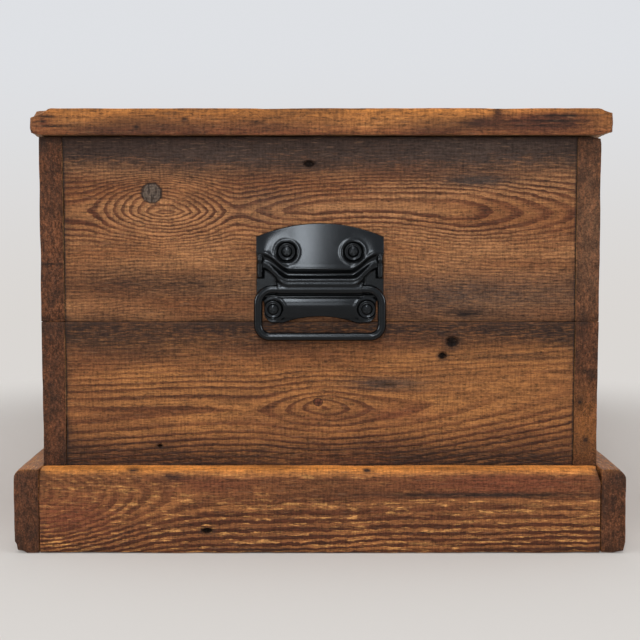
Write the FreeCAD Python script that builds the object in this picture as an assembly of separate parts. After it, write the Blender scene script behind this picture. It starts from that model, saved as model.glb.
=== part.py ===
"""Pine storage chest: a boarded carcass on a plinth, a hinged lid with end clamps, and a pressed steel
drop handle at each end. Millimetres, Z up, X along the chest, front towards -Y, origin on the floor
under the middle of the chest."""

import FreeCAD
import Part
import math
import os

Vector = FreeCAD.Vector

# Carcass: two boards high on every side, the end boards set between the front and the back
carcass_length = 860.0
carcass_depth = 424.0
wall = 18.0
upper_board_width = 140.0
lower_board_width = 140.0
carcass_lift = 34.0
arris = 1.0

# Plinth round the foot of the carcass, which stands on it
plinth_height = 64.0
plinth_thickness = 19.0
plinth_round = 5.0

# Floor boards on cleats
cleat_size = 18.0
floor_thickness = 12.0
floor_board_count = 4
floor_play = 0.4

# Lid: long boards held flat by a clamp across each end, on stopped tongues
lid_thickness = 20.0
lid_gap = 0.4
lid_front_overhang = 5.5
lid_back_overhang = 7.5
lid_end_overhang = 6.5
lid_corner_round = 7.0
lid_top_round = 5.0
lid_under_round = 3.0
clamp_width = 60.0
tongue_thickness = 7.0
tongue_length = 10.0
tongue_stop = 25.0
tongue_play = 0.2

# Butt hinges, let in flush
hinge_inset = 150.0
hinge_length = 63.5
hinge_pin_offset = 1.2
hinge_pin_diameter = 3.6
hinge_leaf_thickness = 1.6
hinge_leaf_margin = 2.0
hinge_knuckles = 5
hinge_knuckle_gap = 0.3
hinge_pin_fit = 0.02
hinge_bore_play = 0.06
hinge_pocket_play = 0.35
hinge_screw_spacing = 21.0
hinge_screw_diameter = 3.5
hinge_screw_head_diameter = 6.8
hinge_screw_cover = 5.0

# Drop handle: heights are above the pivot of the bail, and depths are out from the end boards
handle_height = 199.0
sheet = 1.8
plate_half_width = 48.3
plate_crown = 49.8
plate_corner_height = 39.6
plate_lip_height = 15.0
plate_lip_depth = 11.0
plate_groove_height = 9.5
plate_groove_depth = 5.0
plate_skirt_drop = 4.0
plate_shoulder_height = 25.0
plate_shoulder_half_width = 41.0
plate_waist_half_width = 26.5
plate_barrel_half_width = 33.5
plate_foot_half_width = 42.5
plate_foot_top = 9.5
plate_foot_top_depth = 3.6
plate_foot_crown = 15.0
plate_foot_crown_depth = 4.6
plate_foot_bottom = 26.0
plate_foot_hollow = 4.8
plate_foot_hollow_half_width = 28.0
plate_foot_round = 8.5
plate_edge_round = 1.0
plate_corner_round = 2.5
plate_lip_round = 2.4
plate_groove_round = 1.5
plate_foot_crown_round = 4.0
ear_width = 5.3
ear_bend = 21.0
ear_end = 8.5
ear_play = 0.5
bail_rod_diameter = 6.5
bail_half_width = 46.75
bail_drop = 36.0
bail_top_radius = 11.0
bail_bottom_radius = 9.0
bail_play = 0.25
bail_gap = 0.3
upper_screw_spacing = 50.2
upper_screw_height = 28.2
lower_screw_spacing = 71.2
lower_screw_height = -15.4
well_diameter = 14.6
well_flare = 1.6

# Handle screws: a round head on a thin flange, with a crossed recess
handle_screw_diameter = 4.0
handle_screw_flange_diameter = 13.0
handle_screw_flange = 1.0
handle_screw_head_diameter = 8.5
handle_screw_head = 1.8
handle_screw_cover = 3.8
recess_length = 4.6
recess_width = 1.1
recess_depth = 1.3

# Nails and screws in the carcass
nail_diameter = 3.0
nail_length = 45.0
nail_head_diameter = 6.0
nail_head = 1.2
nail_edge = 30.0
plinth_nail_edge = 18.0
floor_nail_length = 26.0
floor_nail_spread = 50.0
cleat_screw_diameter = 4.5
cleat_screw_head_diameter = 9.0
cleat_screw_bite = 12.0
cleat_screws_along = 4
fastener_fit = 0.05
point_length_in_diameters = 1.5

# Worked out from the sizes above
half_length = carcass_length / 2
half_depth = carcass_depth / 2
joint_height = carcass_lift + lower_board_width
carcass_top = joint_height + upper_board_width
inner_half_length = half_length - wall
inner_half_depth = half_depth - wall
cleat_top = carcass_lift + cleat_size
floor_top = cleat_top + floor_thickness
lid_under = carcass_top + lid_gap
lid_top = lid_under + lid_thickness
lid_front = -half_depth - lid_front_overhang
lid_back = half_depth + lid_back_overhang
lid_half_length = half_length + lid_end_overhang
clamp_start = lid_half_length - clamp_width
pin_y = half_depth + hinge_pin_offset
pin_z = carcass_top + lid_gap / 2
hinge_x = half_length - hinge_inset
knuckle_radius = hinge_pin_diameter / 2 + hinge_bore_play + hinge_leaf_thickness
hinge_screw_length = lid_thickness - hinge_screw_cover
rod_radius = bail_rod_diameter / 2
pivot_depth = sheet + bail_gap + rod_radius
barrel_bore = rod_radius + bail_play
plate_slope = (plate_lip_depth - sheet) / (plate_crown - plate_lip_height)
well_radius = well_diameter / 2


def box(x0, x1, y0, y1, z0, z1):
    return Part.makeBox(x1 - x0, y1 - y0, z1 - z0, Vector(x0, y0, z0))


def board(x0, x1, y0, y1, z0, z1):
    """A plain board with every edge eased."""
    solid = box(x0, x1, y0, y1, z0, z1)
    return solid.makeFillet(arris, solid.Edges)


def edges_at(solid, **place):
    """The edges that lie wholly at the given coordinates, such as z=10."""
    picked = []
    for edge in solid.Edges:
        span = edge.BoundBox
        low = {"x": span.XMin, "y": span.YMin, "z": span.ZMin}
        high = {"x": span.XMax, "y": span.YMax, "z": span.ZMax}
        if all(abs(low[k] - v) < 0.01 and abs(high[k] - v) < 0.01 for k, v in place.items()):
            picked.append(edge)
    return picked


def turned(shape):
    """The same piece at the other end or side: half a turn about the upright axis."""
    copy = shape.copy()
    copy.rotate(Vector(0, 0, 0), Vector(0, 0, 1), 180)
    return copy


def pointing(shape, position, direction):
    """Moves a shape made along +Z from the origin to a position, pointing along a direction."""
    copy = shape.copy()
    copy.Placement = FreeCAD.Placement(position, FreeCAD.Rotation(Vector(0, 0, 1), direction))
    return copy


def drilled(solid, holes):
    """Cuts the holes that reach the solid."""
    near = [hole for hole in holes if hole.BoundBox.intersect(solid.BoundBox)]
    return solid.cut(near) if near else solid


def rounded_wire(corners, place):
    """A closed wire through (a, b, radius) corners, each rounded by an arc, set in space by place(a, b)."""
    arcs = []
    count = len(corners)
    for i in range(count):
        a, b, radius = corners[i]
        here = Vector(a, b, 0)
        before = Vector(*corners[i - 1][:2], 0) - here
        after = Vector(*corners[(i + 1) % count][:2], 0) - here
        before.normalize()
        after.normalize()
        half_angle = before.getAngle(after) / 2
        middle = before + after
        middle.normalize()
        reach = radius / math.tan(half_angle)
        to_arc = radius / math.sin(half_angle) - radius
        arcs.append((here + before * reach, here + middle * to_arc, here + after * reach, radius))
    edges = []
    for i in range(count):
        start, through, end, radius = [place(p.x, p.y) for p in arcs[i][:3]] + [arcs[i][3]]
        if radius > 0:
            edges.append(Part.Arc(start, through, end).toShape())
        following = place(arcs[(i + 1) % count][0].x, arcs[(i + 1) % count][0].y)
        if end.distanceToPoint(following) > 0.001:
            edges.append(Part.LineSegment(end, following).toShape())
    return Part.Wire(edges)


def pointed_shank(radius, length):
    """A shank along +Z from the origin, with a conical point."""
    point = 2 * radius * point_length_in_diameters
    shank = Part.makeCylinder(radius, length - point)
    tip = Part.makeCone(radius, 0, point, Vector(0, 0, length - point))
    return shank.fuse(tip)


def nail(length, clearance=0.0):
    """A nail along +Z with the top of its head at the origin."""
    head = Part.makeCylinder(nail_head_diameter / 2 + clearance, nail_head)
    return head.fuse(pointed_shank(nail_diameter / 2 + clearance, length + clearance)).removeSplitter()


def countersunk_screw(diameter, head_diameter, length, clearance=0.0):
    """A flat-headed screw along +Z with the top of its head at the origin."""
    radius = diameter / 2 + clearance
    head_radius = head_diameter / 2 + clearance
    head = Part.makeCone(head_radius, radius, head_radius - radius)
    screw = head.fuse(pointed_shank(radius, length + clearance)).removeSplitter()
    if clearance:
        return screw
    return screw.cut(crossed_recess(head_diameter / 2))


def crossed_recess(length):
    """The crossed driver recess, sunk along +Z from the origin."""
    bars = []
    for long_x in (True, False):
        half_x = (length if long_x else recess_width) / 2
        half_y = (recess_width if long_x else length) / 2
        bars.append(box(-half_x, half_x, -half_y, half_y, -recess_depth, recess_depth))
    return bars[0].fuse(bars[1])


def fasteners(kind, places, **size):
    """One group of like fasteners, and the holes that take them."""
    solids = [pointing(kind(**size), *place) for place in places]
    holes = [pointing(kind(clearance=fastener_fit, **size), *place) for place in places]
    return solids, holes


def carcass_nail_places():
    """Nails through the front and back boards into the edges of the end boards."""
    heights = [plinth_height + nail_edge, joint_height - nail_edge]
    heights += [joint_height + nail_edge, carcass_top - nail_edge]
    x = half_length - wall / 2
    return [
        (Vector(side_x * x, side_y * half_depth, z), Vector(0, -side_y, 0))
        for side_x in (-1, 1)
        for side_y in (-1, 1)
        for z in heights
    ]


def plinth_nail_places():
    """Nails through the long plinth boards into the ends of the short ones."""
    x = half_length + plinth_thickness / 2
    y = half_depth + plinth_thickness
    return [
        (Vector(side_x * x, side_y * y, z), Vector(0, -side_y, 0))
        for side_x in (-1, 1)
        for side_y in (-1, 1)
        for z in (plinth_nail_edge, plinth_height - plinth_nail_edge)
    ]


def floor_width():
    """Width of one floor board."""
    return (2 * inner_half_depth - floor_play) / floor_board_count


def floor_nail_places():
    """Two nails through each end of each floor board into the end cleats."""
    x = inner_half_length - cleat_size / 2
    first = -inner_half_depth + floor_play / 2 + floor_width() / 2
    middles = [first + i * floor_width() for i in range(floor_board_count)]
    return [
        (Vector(side_x * x, y + side_y * floor_nail_spread / 2, floor_top), Vector(0, 0, -1))
        for side_x in (-1, 1)
        for y in middles
        for side_y in (-1, 1)
    ]


def cleat_screw_places():
    """Screws from inside through each cleat and the carcass into the plinth."""
    z = (carcass_lift + cleat_top) / 2
    y = inner_half_depth - cleat_size
    x = inner_half_length - cleat_size
    step = 2 * x / cleat_screws_along
    along = [(i + 0.5) * step - x for i in range(cleat_screws_along)]
    places = [(Vector(a, side * y, z), Vector(0, side, 0)) for side in (-1, 1) for a in along]
    places += [(Vector(side * x, a, z), Vector(side, 0, 0)) for side in (-1, 1) for a in (-y / 2, y / 2)]
    return places


def hinge_screw_places(side):
    """Screws down into the back board (side -1) or up into the lid (side 1), along both hinges."""
    y = half_depth - wall / 2
    return [
        (Vector(end * hinge_x + i * hinge_screw_spacing, y, pin_z + side * lid_gap / 2), Vector(0, 0, side))
        for end in (-1, 1)
        for i in (-1, 0, 1)
    ]


def handle_screw_places():
    """Screws through the plate of the right handle into the upper end board, seated on the sheet."""
    rows = [(upper_screw_spacing, upper_screw_height), (lower_screw_spacing, lower_screw_height)]
    return [
        (at_handle(side * spacing / 2, height, sheet), Vector(-1, 0, 0))
        for spacing, height in rows
        for side in (-1, 1)
    ]


def at_handle(across, up, out):
    """A point of the right handle: across and up from the pivot, and out from the end boards."""
    return Vector(half_length + out, across, handle_height + up)


def hinge_pocket(end, side):
    """The recess for one leaf and the knuckles, in the back board (side -1) or the lid (side 1)."""
    half = hinge_length / 2 + hinge_pocket_play
    x = end * hinge_x
    depth = lid_gap / 2 + hinge_leaf_thickness
    inner_edge = half_depth - wall + hinge_leaf_margin - hinge_pocket_play
    low, high = sorted((pin_z, pin_z + side * depth))
    leaf = box(x - half, x + half, inner_edge, pin_y, low, high)
    radius = knuckle_radius + hinge_pocket_play
    knuckles = Part.makeCylinder(radius, 2 * half, Vector(x - half, pin_y, pin_z), Vector(1, 0, 0))
    return leaf.fuse(knuckles)


def hinge_leaf(end, side, screw_holes):
    """One leaf with its knuckles: the lower one (side -1) on the back board, or the upper one on the lid."""
    x0 = end * hinge_x - hinge_length / 2
    step = hinge_length / hinge_knuckles
    face = pin_z + side * lid_gap / 2
    low, high = sorted((face, face + side * hinge_leaf_thickness))
    leaf = box(x0, x0 + hinge_length, half_depth - wall + hinge_leaf_margin, pin_y, low, high)
    axis = Vector(1, 0, 0)
    own = [i for i in range(hinge_knuckles) if (i % 2 == 0) == (side < 0)]
    others = [i for i in range(hinge_knuckles) if i not in own]
    clear = knuckle_radius + hinge_pocket_play
    for i in others:
        leaf = leaf.cut(Part.makeCylinder(clear, step, Vector(x0 + i * step, pin_y, pin_z), axis))
    for i in own:
        start = Vector(x0 + i * step + hinge_knuckle_gap / 2, pin_y, pin_z)
        leaf = leaf.fuse(Part.makeCylinder(knuckle_radius, step - hinge_knuckle_gap, start, axis))
    play = hinge_pin_fit if side < 0 else hinge_bore_play
    bore = Part.makeCylinder(hinge_pin_diameter / 2 + play, hinge_length, Vector(x0, pin_y, pin_z), axis)
    return drilled(leaf.cut(bore), screw_holes).removeSplitter()


def hinge_pin(end):
    start = Vector(end * hinge_x - hinge_length / 2, pin_y, pin_z)
    return Part.makeCylinder(hinge_pin_diameter / 2, hinge_length, start, Vector(1, 0, 0))


def lid_slab():
    """The whole lid as one slab with its rounded edges, to be divided into boards."""
    slab = box(-lid_half_length, lid_half_length, lid_front, lid_back, lid_under, lid_top)
    uprights = [e for e in slab.Edges if e.BoundBox.ZLength > lid_thickness / 2]
    slab = slab.makeFillet(lid_corner_round, uprights)
    slab = slab.makeFillet(lid_top_round, edges_at(slab, z=lid_top))
    return slab.makeFillet(lid_under_round, edges_at(slab, z=lid_under))


def tongue(start, end, play=0.0):
    """The stopped tongue between two depths along both ends of the lid boards."""
    middle = (lid_under + lid_top) / 2
    half = tongue_thickness / 2 + play
    reach = clamp_start + tongue_length + play
    return box(-reach, reach, start - play, end + play, middle - half, middle + half)


def lid_pieces(holes):
    """Three long boards and two end clamps."""
    slab = lid_slab()
    names = ("lid_front_board", "lid_middle_board", "lid_back_board")
    width = (lid_back - lid_front) / len(names)
    first, last = lid_front + tongue_stop, lid_back - tongue_stop
    pieces = {}
    for i, name in enumerate(names):
        y0 = lid_front + i * width
        blank = slab.common(box(-clamp_start, clamp_start, y0, y0 + width, lid_under, lid_top))
        blank = blank.fuse(tongue(max(y0, first), min(y0 + width, last)))
        pieces[name] = drilled(blank.removeSplitter(), holes)
    clamp = slab.common(box(clamp_start, lid_half_length, lid_front, lid_back, lid_under, lid_top))
    pieces["lid_right_clamp"] = clamp.cut(tongue(first, last, tongue_play))
    clamp = slab.common(box(-lid_half_length, -clamp_start, lid_front, lid_back, lid_under, lid_top))
    pieces["lid_left_clamp"] = clamp.cut(tongue(first, last, tongue_play))
    return pieces


def carcass_pieces(holes):
    """The boards of the four sides."""
    tiers = {"upper": (joint_height, carcass_top), "lower": (carcass_lift, joint_height)}
    pieces = {}
    for tier, (low, high) in tiers.items():
        front = board(-half_length, half_length, -half_depth, -inner_half_depth, low, high)
        end = board(inner_half_length, half_length, -inner_half_depth, inner_half_depth, low, high)
        pieces[f"front_{tier}_board"] = drilled(front, holes)
        pieces[f"back_{tier}_board"] = drilled(turned(front), holes)
        pieces[f"right_{tier}_end_board"] = drilled(end, holes)
        pieces[f"left_{tier}_end_board"] = drilled(turned(end), holes)
    return pieces


def plinth_pieces(holes):
    """The plinth: long boards at the front and back, end boards between them."""
    outer_x = half_length + plinth_thickness
    outer_y = half_depth + plinth_thickness
    long = box(-outer_x, outer_x, -outer_y, -half_depth, 0, plinth_height)
    long = long.makeFillet(plinth_round, edges_at(long, y=-outer_y, z=plinth_height))
    short = box(half_length, outer_x, -half_depth, half_depth, 0, plinth_height)
    short = short.makeFillet(plinth_round, edges_at(short, x=outer_x, z=plinth_height))
    return {
        "front_plinth": drilled(long, holes),
        "back_plinth": drilled(turned(long), holes),
        "right_plinth": drilled(short, holes),
        "left_plinth": drilled(turned(short), holes),
    }


def floor_pieces(holes):
    """Cleats round the foot of the carcass, and the floor boards on them."""
    x, y = inner_half_length, inner_half_depth
    front = box(-x, x, -y, -y + cleat_size, carcass_lift, cleat_top)
    end = box(x - cleat_size, x, -y + cleat_size, y - cleat_size, carcass_lift, cleat_top)
    pieces = {
        "front_cleat": drilled(front, holes),
        "back_cleat": drilled(turned(front), holes),
        "right_cleat": drilled(end, holes),
        "left_cleat": drilled(turned(end), holes),
    }
    for i in range(floor_board_count):
        y0 = -y + floor_play / 2 + i * floor_width()
        plank = board(-x + floor_play, x - floor_play, y0, y0 + floor_width(), cleat_top, floor_top)
        pieces[f"floor_board_{i + 1}"] = drilled(plank, holes)
    return pieces


def outline_face(right):
    """A face on the end boards from the right half of an outline, with its crown and hollowed foot."""
    left = [(-across, up, radius) for across, up, radius in reversed(right)]
    outline = Part.Face(rounded_wire(right + left, lambda a, b: at_handle(a, b, 0)))
    crown_rise = plate_crown - plate_corner_height
    crown_radius = (plate_half_width**2 + crown_rise**2) / (2 * crown_rise)
    crown = Part.Circle(at_handle(0, plate_crown - crown_radius, 0), Vector(1, 0, 0), crown_radius)
    outline = outline.common(Part.Face(Part.Wire(crown.toShape())))
    hollow = plate_foot_hollow
    hollow_radius = (plate_foot_hollow_half_width**2 + hollow**2) / (2 * hollow)
    hollow_centre = at_handle(0, -plate_foot_bottom + hollow - hollow_radius, 0)
    bite = Part.Circle(hollow_centre, Vector(1, 0, 0), hollow_radius)
    return outline.cut(Part.Face(Part.Wire(bite.toShape()))).Faces[0]


def plate_foot_corners():
    """The right half of the foot's outline, below the barrel."""
    return [
        (plate_foot_half_width, -plate_foot_top, plate_corner_round),
        (plate_foot_half_width, -plate_foot_bottom, plate_foot_round),
    ]


def plate_prism(inset):
    """The raised part of the plate, waisted at the barrel, drawn in by inset and extruded outwards."""
    right = [
        (plate_half_width, plate_crown + sheet, 0),
        (plate_half_width, plate_shoulder_height, plate_corner_round),
        (plate_shoulder_half_width, plate_shoulder_height, plate_edge_round),
        (plate_waist_half_width, (plate_lip_height + plate_groove_height) / 2, plate_corner_round),
        (plate_barrel_half_width, rod_radius + sheet, plate_edge_round),
        (plate_barrel_half_width, -rod_radius - sheet, plate_edge_round),
    ]
    face = outline_face(right + plate_foot_corners())
    if inset:
        face = face.makeOffset2D(-inset)
    return face.extrude(Vector(plate_lip_depth * 2, 0, 0))


def plate_flat():
    """The flat sheet on the wood that the raised part is pressed up from."""
    right = [
        (plate_half_width, plate_crown + sheet, 0),
        (plate_half_width, -plate_skirt_drop, plate_corner_round),
    ]
    return outline_face(right + plate_foot_corners()).extrude(Vector(sheet, 0, 0))


def plate_surface(up):
    """Depth of the sloping domed head at a height."""
    return sheet + plate_slope * (plate_crown - up)


def plate_bulk(inset):
    """All that lies behind the pressed surface of the plate, or behind the surface inset below it."""
    margin = plate_crown
    corners = [
        (plate_crown + margin, -margin, 0),
        (plate_crown + margin, plate_surface(plate_crown + margin), 0),
        (plate_lip_height, plate_lip_depth, plate_lip_round),
        (plate_groove_height, plate_groove_depth, plate_groove_round),
        (-plate_foot_top, plate_foot_top_depth, plate_edge_round),
        (-plate_foot_crown, plate_foot_crown_depth, plate_foot_crown_round),
        (-plate_foot_bottom, sheet, 0),
        (-plate_foot_bottom - margin, sheet, 0),
        (-plate_foot_bottom - margin, -margin, 0),
    ]
    start = -2 * plate_half_width
    face = Part.Face(rounded_wire(corners, lambda up, out: at_handle(start, up, out)))
    barrel = Part.Circle(at_handle(start, 0, pivot_depth), Vector(0, 1, 0), barrel_bore + sheet)
    face = face.fuse(Part.Face(Part.Wire(barrel.toShape()))).removeSplitter().Faces[0]
    if inset:
        face = face.makeOffset2D(-inset)
    return face.extrude(Vector(0, -2 * start, 0))


def screw_well(across, up, surface):
    """A cup of sheet pressed back to the wood round one screw, and the space inside it."""
    outward = Vector(1, 0, 0)
    flared = well_radius + well_flare
    back = at_handle(across, up, 0)
    seat = at_handle(across, up, sheet)
    cup = Part.makeCone(well_radius + sheet, flared + sheet, plate_lip_depth, back, outward)
    space = Part.makeCone(well_radius, flared, plate_lip_depth, seat, outward)
    return cup.common(surface), space


def handle_ear(side):
    """One ear: a strip of the domed head carried on down, and a side wall that stops the bail."""
    outer = side * plate_half_width
    top = plate_shoulder_height + sheet
    front = plate_surface(ear_bend)
    back = front - sheet
    stop = rod_radius + ear_play
    strip = [(top, plate_surface(top)), (ear_bend, front), (ear_end, front), (ear_end, back)]
    strip += [(ear_bend, back), (top, plate_surface(top) - sheet)]
    side_wall = [(top, 0), (top, plate_surface(top)), (ear_bend, front), (stop, front), (stop, 0)]
    ear = []
    for outline, width in ((strip, ear_width), (side_wall, sheet)):
        corners = [(up, out, 0) for up, out in outline]
        face = Part.Face(rounded_wire(corners, lambda up, out: at_handle(outer, up, out)))
        ear.append(face.extrude(Vector(0, -side * width, 0)))
    return ear


def handle_plate(screw_holes):
    """The pressed plate: a domed head, a barrel over the bail, a foot, screw wells and two ears."""
    hollow = plate_prism(sheet)
    surface = plate_bulk(0).common(plate_prism(0))
    plate = surface.cut(hollow.common(plate_bulk(sheet))).fuse(plate_flat().cut(hollow))
    bore_start = at_handle(-plate_half_width, 0, pivot_depth)
    plate = plate.cut(Part.makeCylinder(barrel_bore, 2 * plate_half_width, bore_start, Vector(0, 1, 0)))
    for side in (-1, 1):
        wells = [
            screw_well(side * upper_screw_spacing / 2, upper_screw_height, surface),
            screw_well(side * lower_screw_spacing / 2, lower_screw_height, surface),
        ]
        plate = plate.fuse([cup for cup, space in wells]).cut([space for cup, space in wells])
        plate = plate.fuse(handle_ear(side))
    return drilled(plate, screw_holes).removeSplitter()


def handle_bail():
    """The drop handle: one round rod bent into a closed loop, its top bar held in the plate's barrel."""
    corners = [
        (bail_half_width, 0, bail_top_radius),
        (bail_half_width, -bail_drop, bail_bottom_radius),
        (-bail_half_width, -bail_drop, bail_bottom_radius),
        (-bail_half_width, 0, bail_top_radius),
    ]
    path = rounded_wire(corners, lambda a, b: at_handle(a, b, pivot_depth))
    start = at_handle(bail_half_width - bail_top_radius, 0, pivot_depth)
    section = Part.Wire(Part.Circle(start, Vector(0, 1, 0), rod_radius).toShape())
    return path.makePipeShell([section], True, False)


def handle_screw(length, clearance=0.0):
    """A round-headed screw along +Z, seated at the origin; its hole is only the shank."""
    shank = pointed_shank(handle_screw_diameter / 2 + clearance, length + clearance)
    if clearance:
        return shank
    flange = Part.makeCylinder(handle_screw_flange_diameter / 2, handle_screw_flange)
    flange.translate(Vector(0, 0, -handle_screw_flange))
    half = handle_screw_head_diameter / 2
    ball_radius = (half**2 + handle_screw_head**2) / (2 * handle_screw_head)
    crown = handle_screw_flange + handle_screw_head
    ball = Part.makeSphere(ball_radius, Vector(0, 0, ball_radius - crown))
    dome = ball.common(Part.makeCylinder(half, crown, Vector(0, 0, -crown)))
    recess = crossed_recess(recess_length)
    recess.translate(Vector(0, 0, -crown))
    return shank.fuse([flange, dome]).removeSplitter().cut(recess)


def build():
    """Every piece of the chest, by node name."""
    carcass_nails, carcass_holes = fasteners(nail, carcass_nail_places(), length=nail_length)
    plinth_nails, plinth_holes = fasteners(nail, plinth_nail_places(), length=nail_length)
    floor_nails, floor_holes = fasteners(nail, floor_nail_places(), length=floor_nail_length)
    cleat_screws, cleat_holes = fasteners(
        countersunk_screw,
        cleat_screw_places(),
        diameter=cleat_screw_diameter,
        head_diameter=cleat_screw_head_diameter,
        length=cleat_size + wall + cleat_screw_bite,
    )
    hinge_screw = {
        "diameter": hinge_screw_diameter,
        "head_diameter": hinge_screw_head_diameter,
        "length": hinge_screw_length,
    }
    lower_screws, lower_holes = fasteners(countersunk_screw, hinge_screw_places(-1), **hinge_screw)
    upper_screws, upper_holes = fasteners(countersunk_screw, hinge_screw_places(1), **hinge_screw)
    handle_screws, handle_holes = fasteners(
        handle_screw, handle_screw_places(), length=sheet + wall - handle_screw_cover
    )
    far_handle_holes = [turned(hole) for hole in handle_holes]
    lower_pockets = [hinge_pocket(end, -1) for end in (-1, 1)]
    upper_pockets = [hinge_pocket(end, 1) for end in (-1, 1)]

    nodes = carcass_pieces(
        carcass_holes + cleat_holes + handle_holes + far_handle_holes + lower_holes + lower_pockets
    )
    nodes.update(plinth_pieces(plinth_holes + cleat_holes))
    nodes.update(floor_pieces(cleat_holes + floor_holes))
    nodes.update(lid_pieces(upper_holes + upper_pockets))
    for side, end in (("right", 1), ("left", -1)):
        nodes[f"{side}_hinge_lower_leaf"] = hinge_leaf(end, -1, lower_holes)
        nodes[f"{side}_hinge_upper_leaf"] = hinge_leaf(end, 1, upper_holes)
        nodes[f"{side}_hinge_pin"] = hinge_pin(end)
    plate = handle_plate(handle_holes)
    bail = handle_bail()
    screws = Part.makeCompound(handle_screws)
    for name, piece in (("plate", plate), ("bail", bail), ("screws", screws)):
        nodes[f"right_handle_{name}"] = piece
        nodes[f"left_handle_{name}"] = turned(piece)
    groups = {
        "carcass_nails": carcass_nails,
        "plinth_nails": plinth_nails,
        "floor_nails": floor_nails,
        "cleat_screws": cleat_screws,
        "hinge_lower_screws": lower_screws,
        "hinge_upper_screws": upper_screws,
    }
    nodes.update({name: Part.makeCompound(solids) for name, solids in groups.items()})
    return nodes


os.makedirs("parts", exist_ok=True)
for node, shape in build().items():
    shape.exportStep(f"parts/{node}.step")
    print(node, "solids", len(shape.Solids), "valid", shape.isValid(), "volume", round(shape.Volume))
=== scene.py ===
"""Looks of a reclaimed pine storage chest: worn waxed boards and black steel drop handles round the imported
model, on a plain pale floor."""

import math
from collections import namedtuple

import bmesh
import bpy
from mathutils import Matrix, Vector, noise


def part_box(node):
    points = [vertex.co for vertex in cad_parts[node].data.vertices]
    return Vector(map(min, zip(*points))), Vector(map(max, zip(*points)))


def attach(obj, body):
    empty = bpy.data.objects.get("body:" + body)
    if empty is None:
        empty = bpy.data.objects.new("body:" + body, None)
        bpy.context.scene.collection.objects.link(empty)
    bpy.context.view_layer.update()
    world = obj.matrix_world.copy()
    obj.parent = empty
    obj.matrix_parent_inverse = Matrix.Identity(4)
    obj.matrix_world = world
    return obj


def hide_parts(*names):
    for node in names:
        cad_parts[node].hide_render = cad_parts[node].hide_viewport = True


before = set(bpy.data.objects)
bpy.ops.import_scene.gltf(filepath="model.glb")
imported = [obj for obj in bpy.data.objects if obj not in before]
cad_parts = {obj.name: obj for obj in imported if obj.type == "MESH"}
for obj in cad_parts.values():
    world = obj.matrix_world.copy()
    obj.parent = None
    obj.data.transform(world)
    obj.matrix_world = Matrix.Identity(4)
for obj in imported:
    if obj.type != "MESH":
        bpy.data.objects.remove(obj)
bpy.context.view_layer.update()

bl_info = {
    "name": "Pine storage chest",
    "version": (1, 0, 0),
    "blender": (4, 5, 0),
    "location": "3D View > Sidebar > Chest",
    "description": "Dresses the packed pine chest with worn boards, black steel and a plain stage",
    "category": "Object",
}

MM = 0.001
HINGED = ("back_upper_board", "lid_back_board")

# The handles, in mm. END_FACE is the face that they sit on and PIVOT_HEIGHT the height of the bail's pivot. Depths
# are counted out from that face, and heights up from the pivot. Screws are placed by their distance from the
# middle and their height, and turned by so many degrees.
END_FACE = 430.0
PIVOT_HEIGHT = 199.0
PIVOT_DEPTH = 5.35
BARREL_RADIUS = 4.3
SHEET = 0.7
FLAT_DEPTH = 1.8
HEAD_DEPTH = 1.6
HALF_WIDTH = 48.3
FOOT_HALF_WIDTH = 42.5
PLATE_LOW = -26.0
PLATE_TOP = 49.8
CROWN_DROP = 10.2
SCREW_PLACES = ((25.1, 28.2), (35.6, -15.4))
SCREW_TURNS = (12, 50, 33, 71)
SCREW_HEAD = 2.8

# A board of the chest. step is the spacing of its mesh, heart is where the middle of the log lies across the board
# and depth is how far it lies under the face (None where the board has a figure of its own), ring is the width of
# a year's growth, sway is how far the grain wanders (all in mm), dark is how deep the wax has gone, and seed sets
# its noise apart from that of the others.
Board = namedtuple("Board", "node body slot step heart depth ring sway dark seed")

# How the year rings lie in a board: the height of the log's heart and how deep it lies under the face, how strong
# the lines are near the heart, above it and below it, how pointed the tongues are, how soon the rings draw together
# above and below the heart (all lengths in mm), how far into a year's growth the heart starts, and the depth that
# the rings settle to away from the heart (None where they don't).
Figure = namedtuple(
    "Figure", "heart under bold pointed above beneath phase rest", defaults=(0.0, 400.0, 400.0, 0.0, None),
)

# A dark or pale patch, mostly a stain, in places a painted shadow or painted highlight: its middle and its reach
# (mm, 0 where it runs right across), colour and strength.
StainOrPaintedLight = namedtuple("StainOrPaintedLight", "middle reach colour strength")

# A knot on a face: its middle (mm), its half length along the grain and half height, and its colour: that of a
# hole for one that has fallen out.
Knot = namedtuple("Knot", "middle half_length half_height colour")

# A bruise or chewed place: its middle, its reach and its push (mm), and how rough it is.
Bruise = namedtuple("Bruise", "middle reach push rough")

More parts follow.
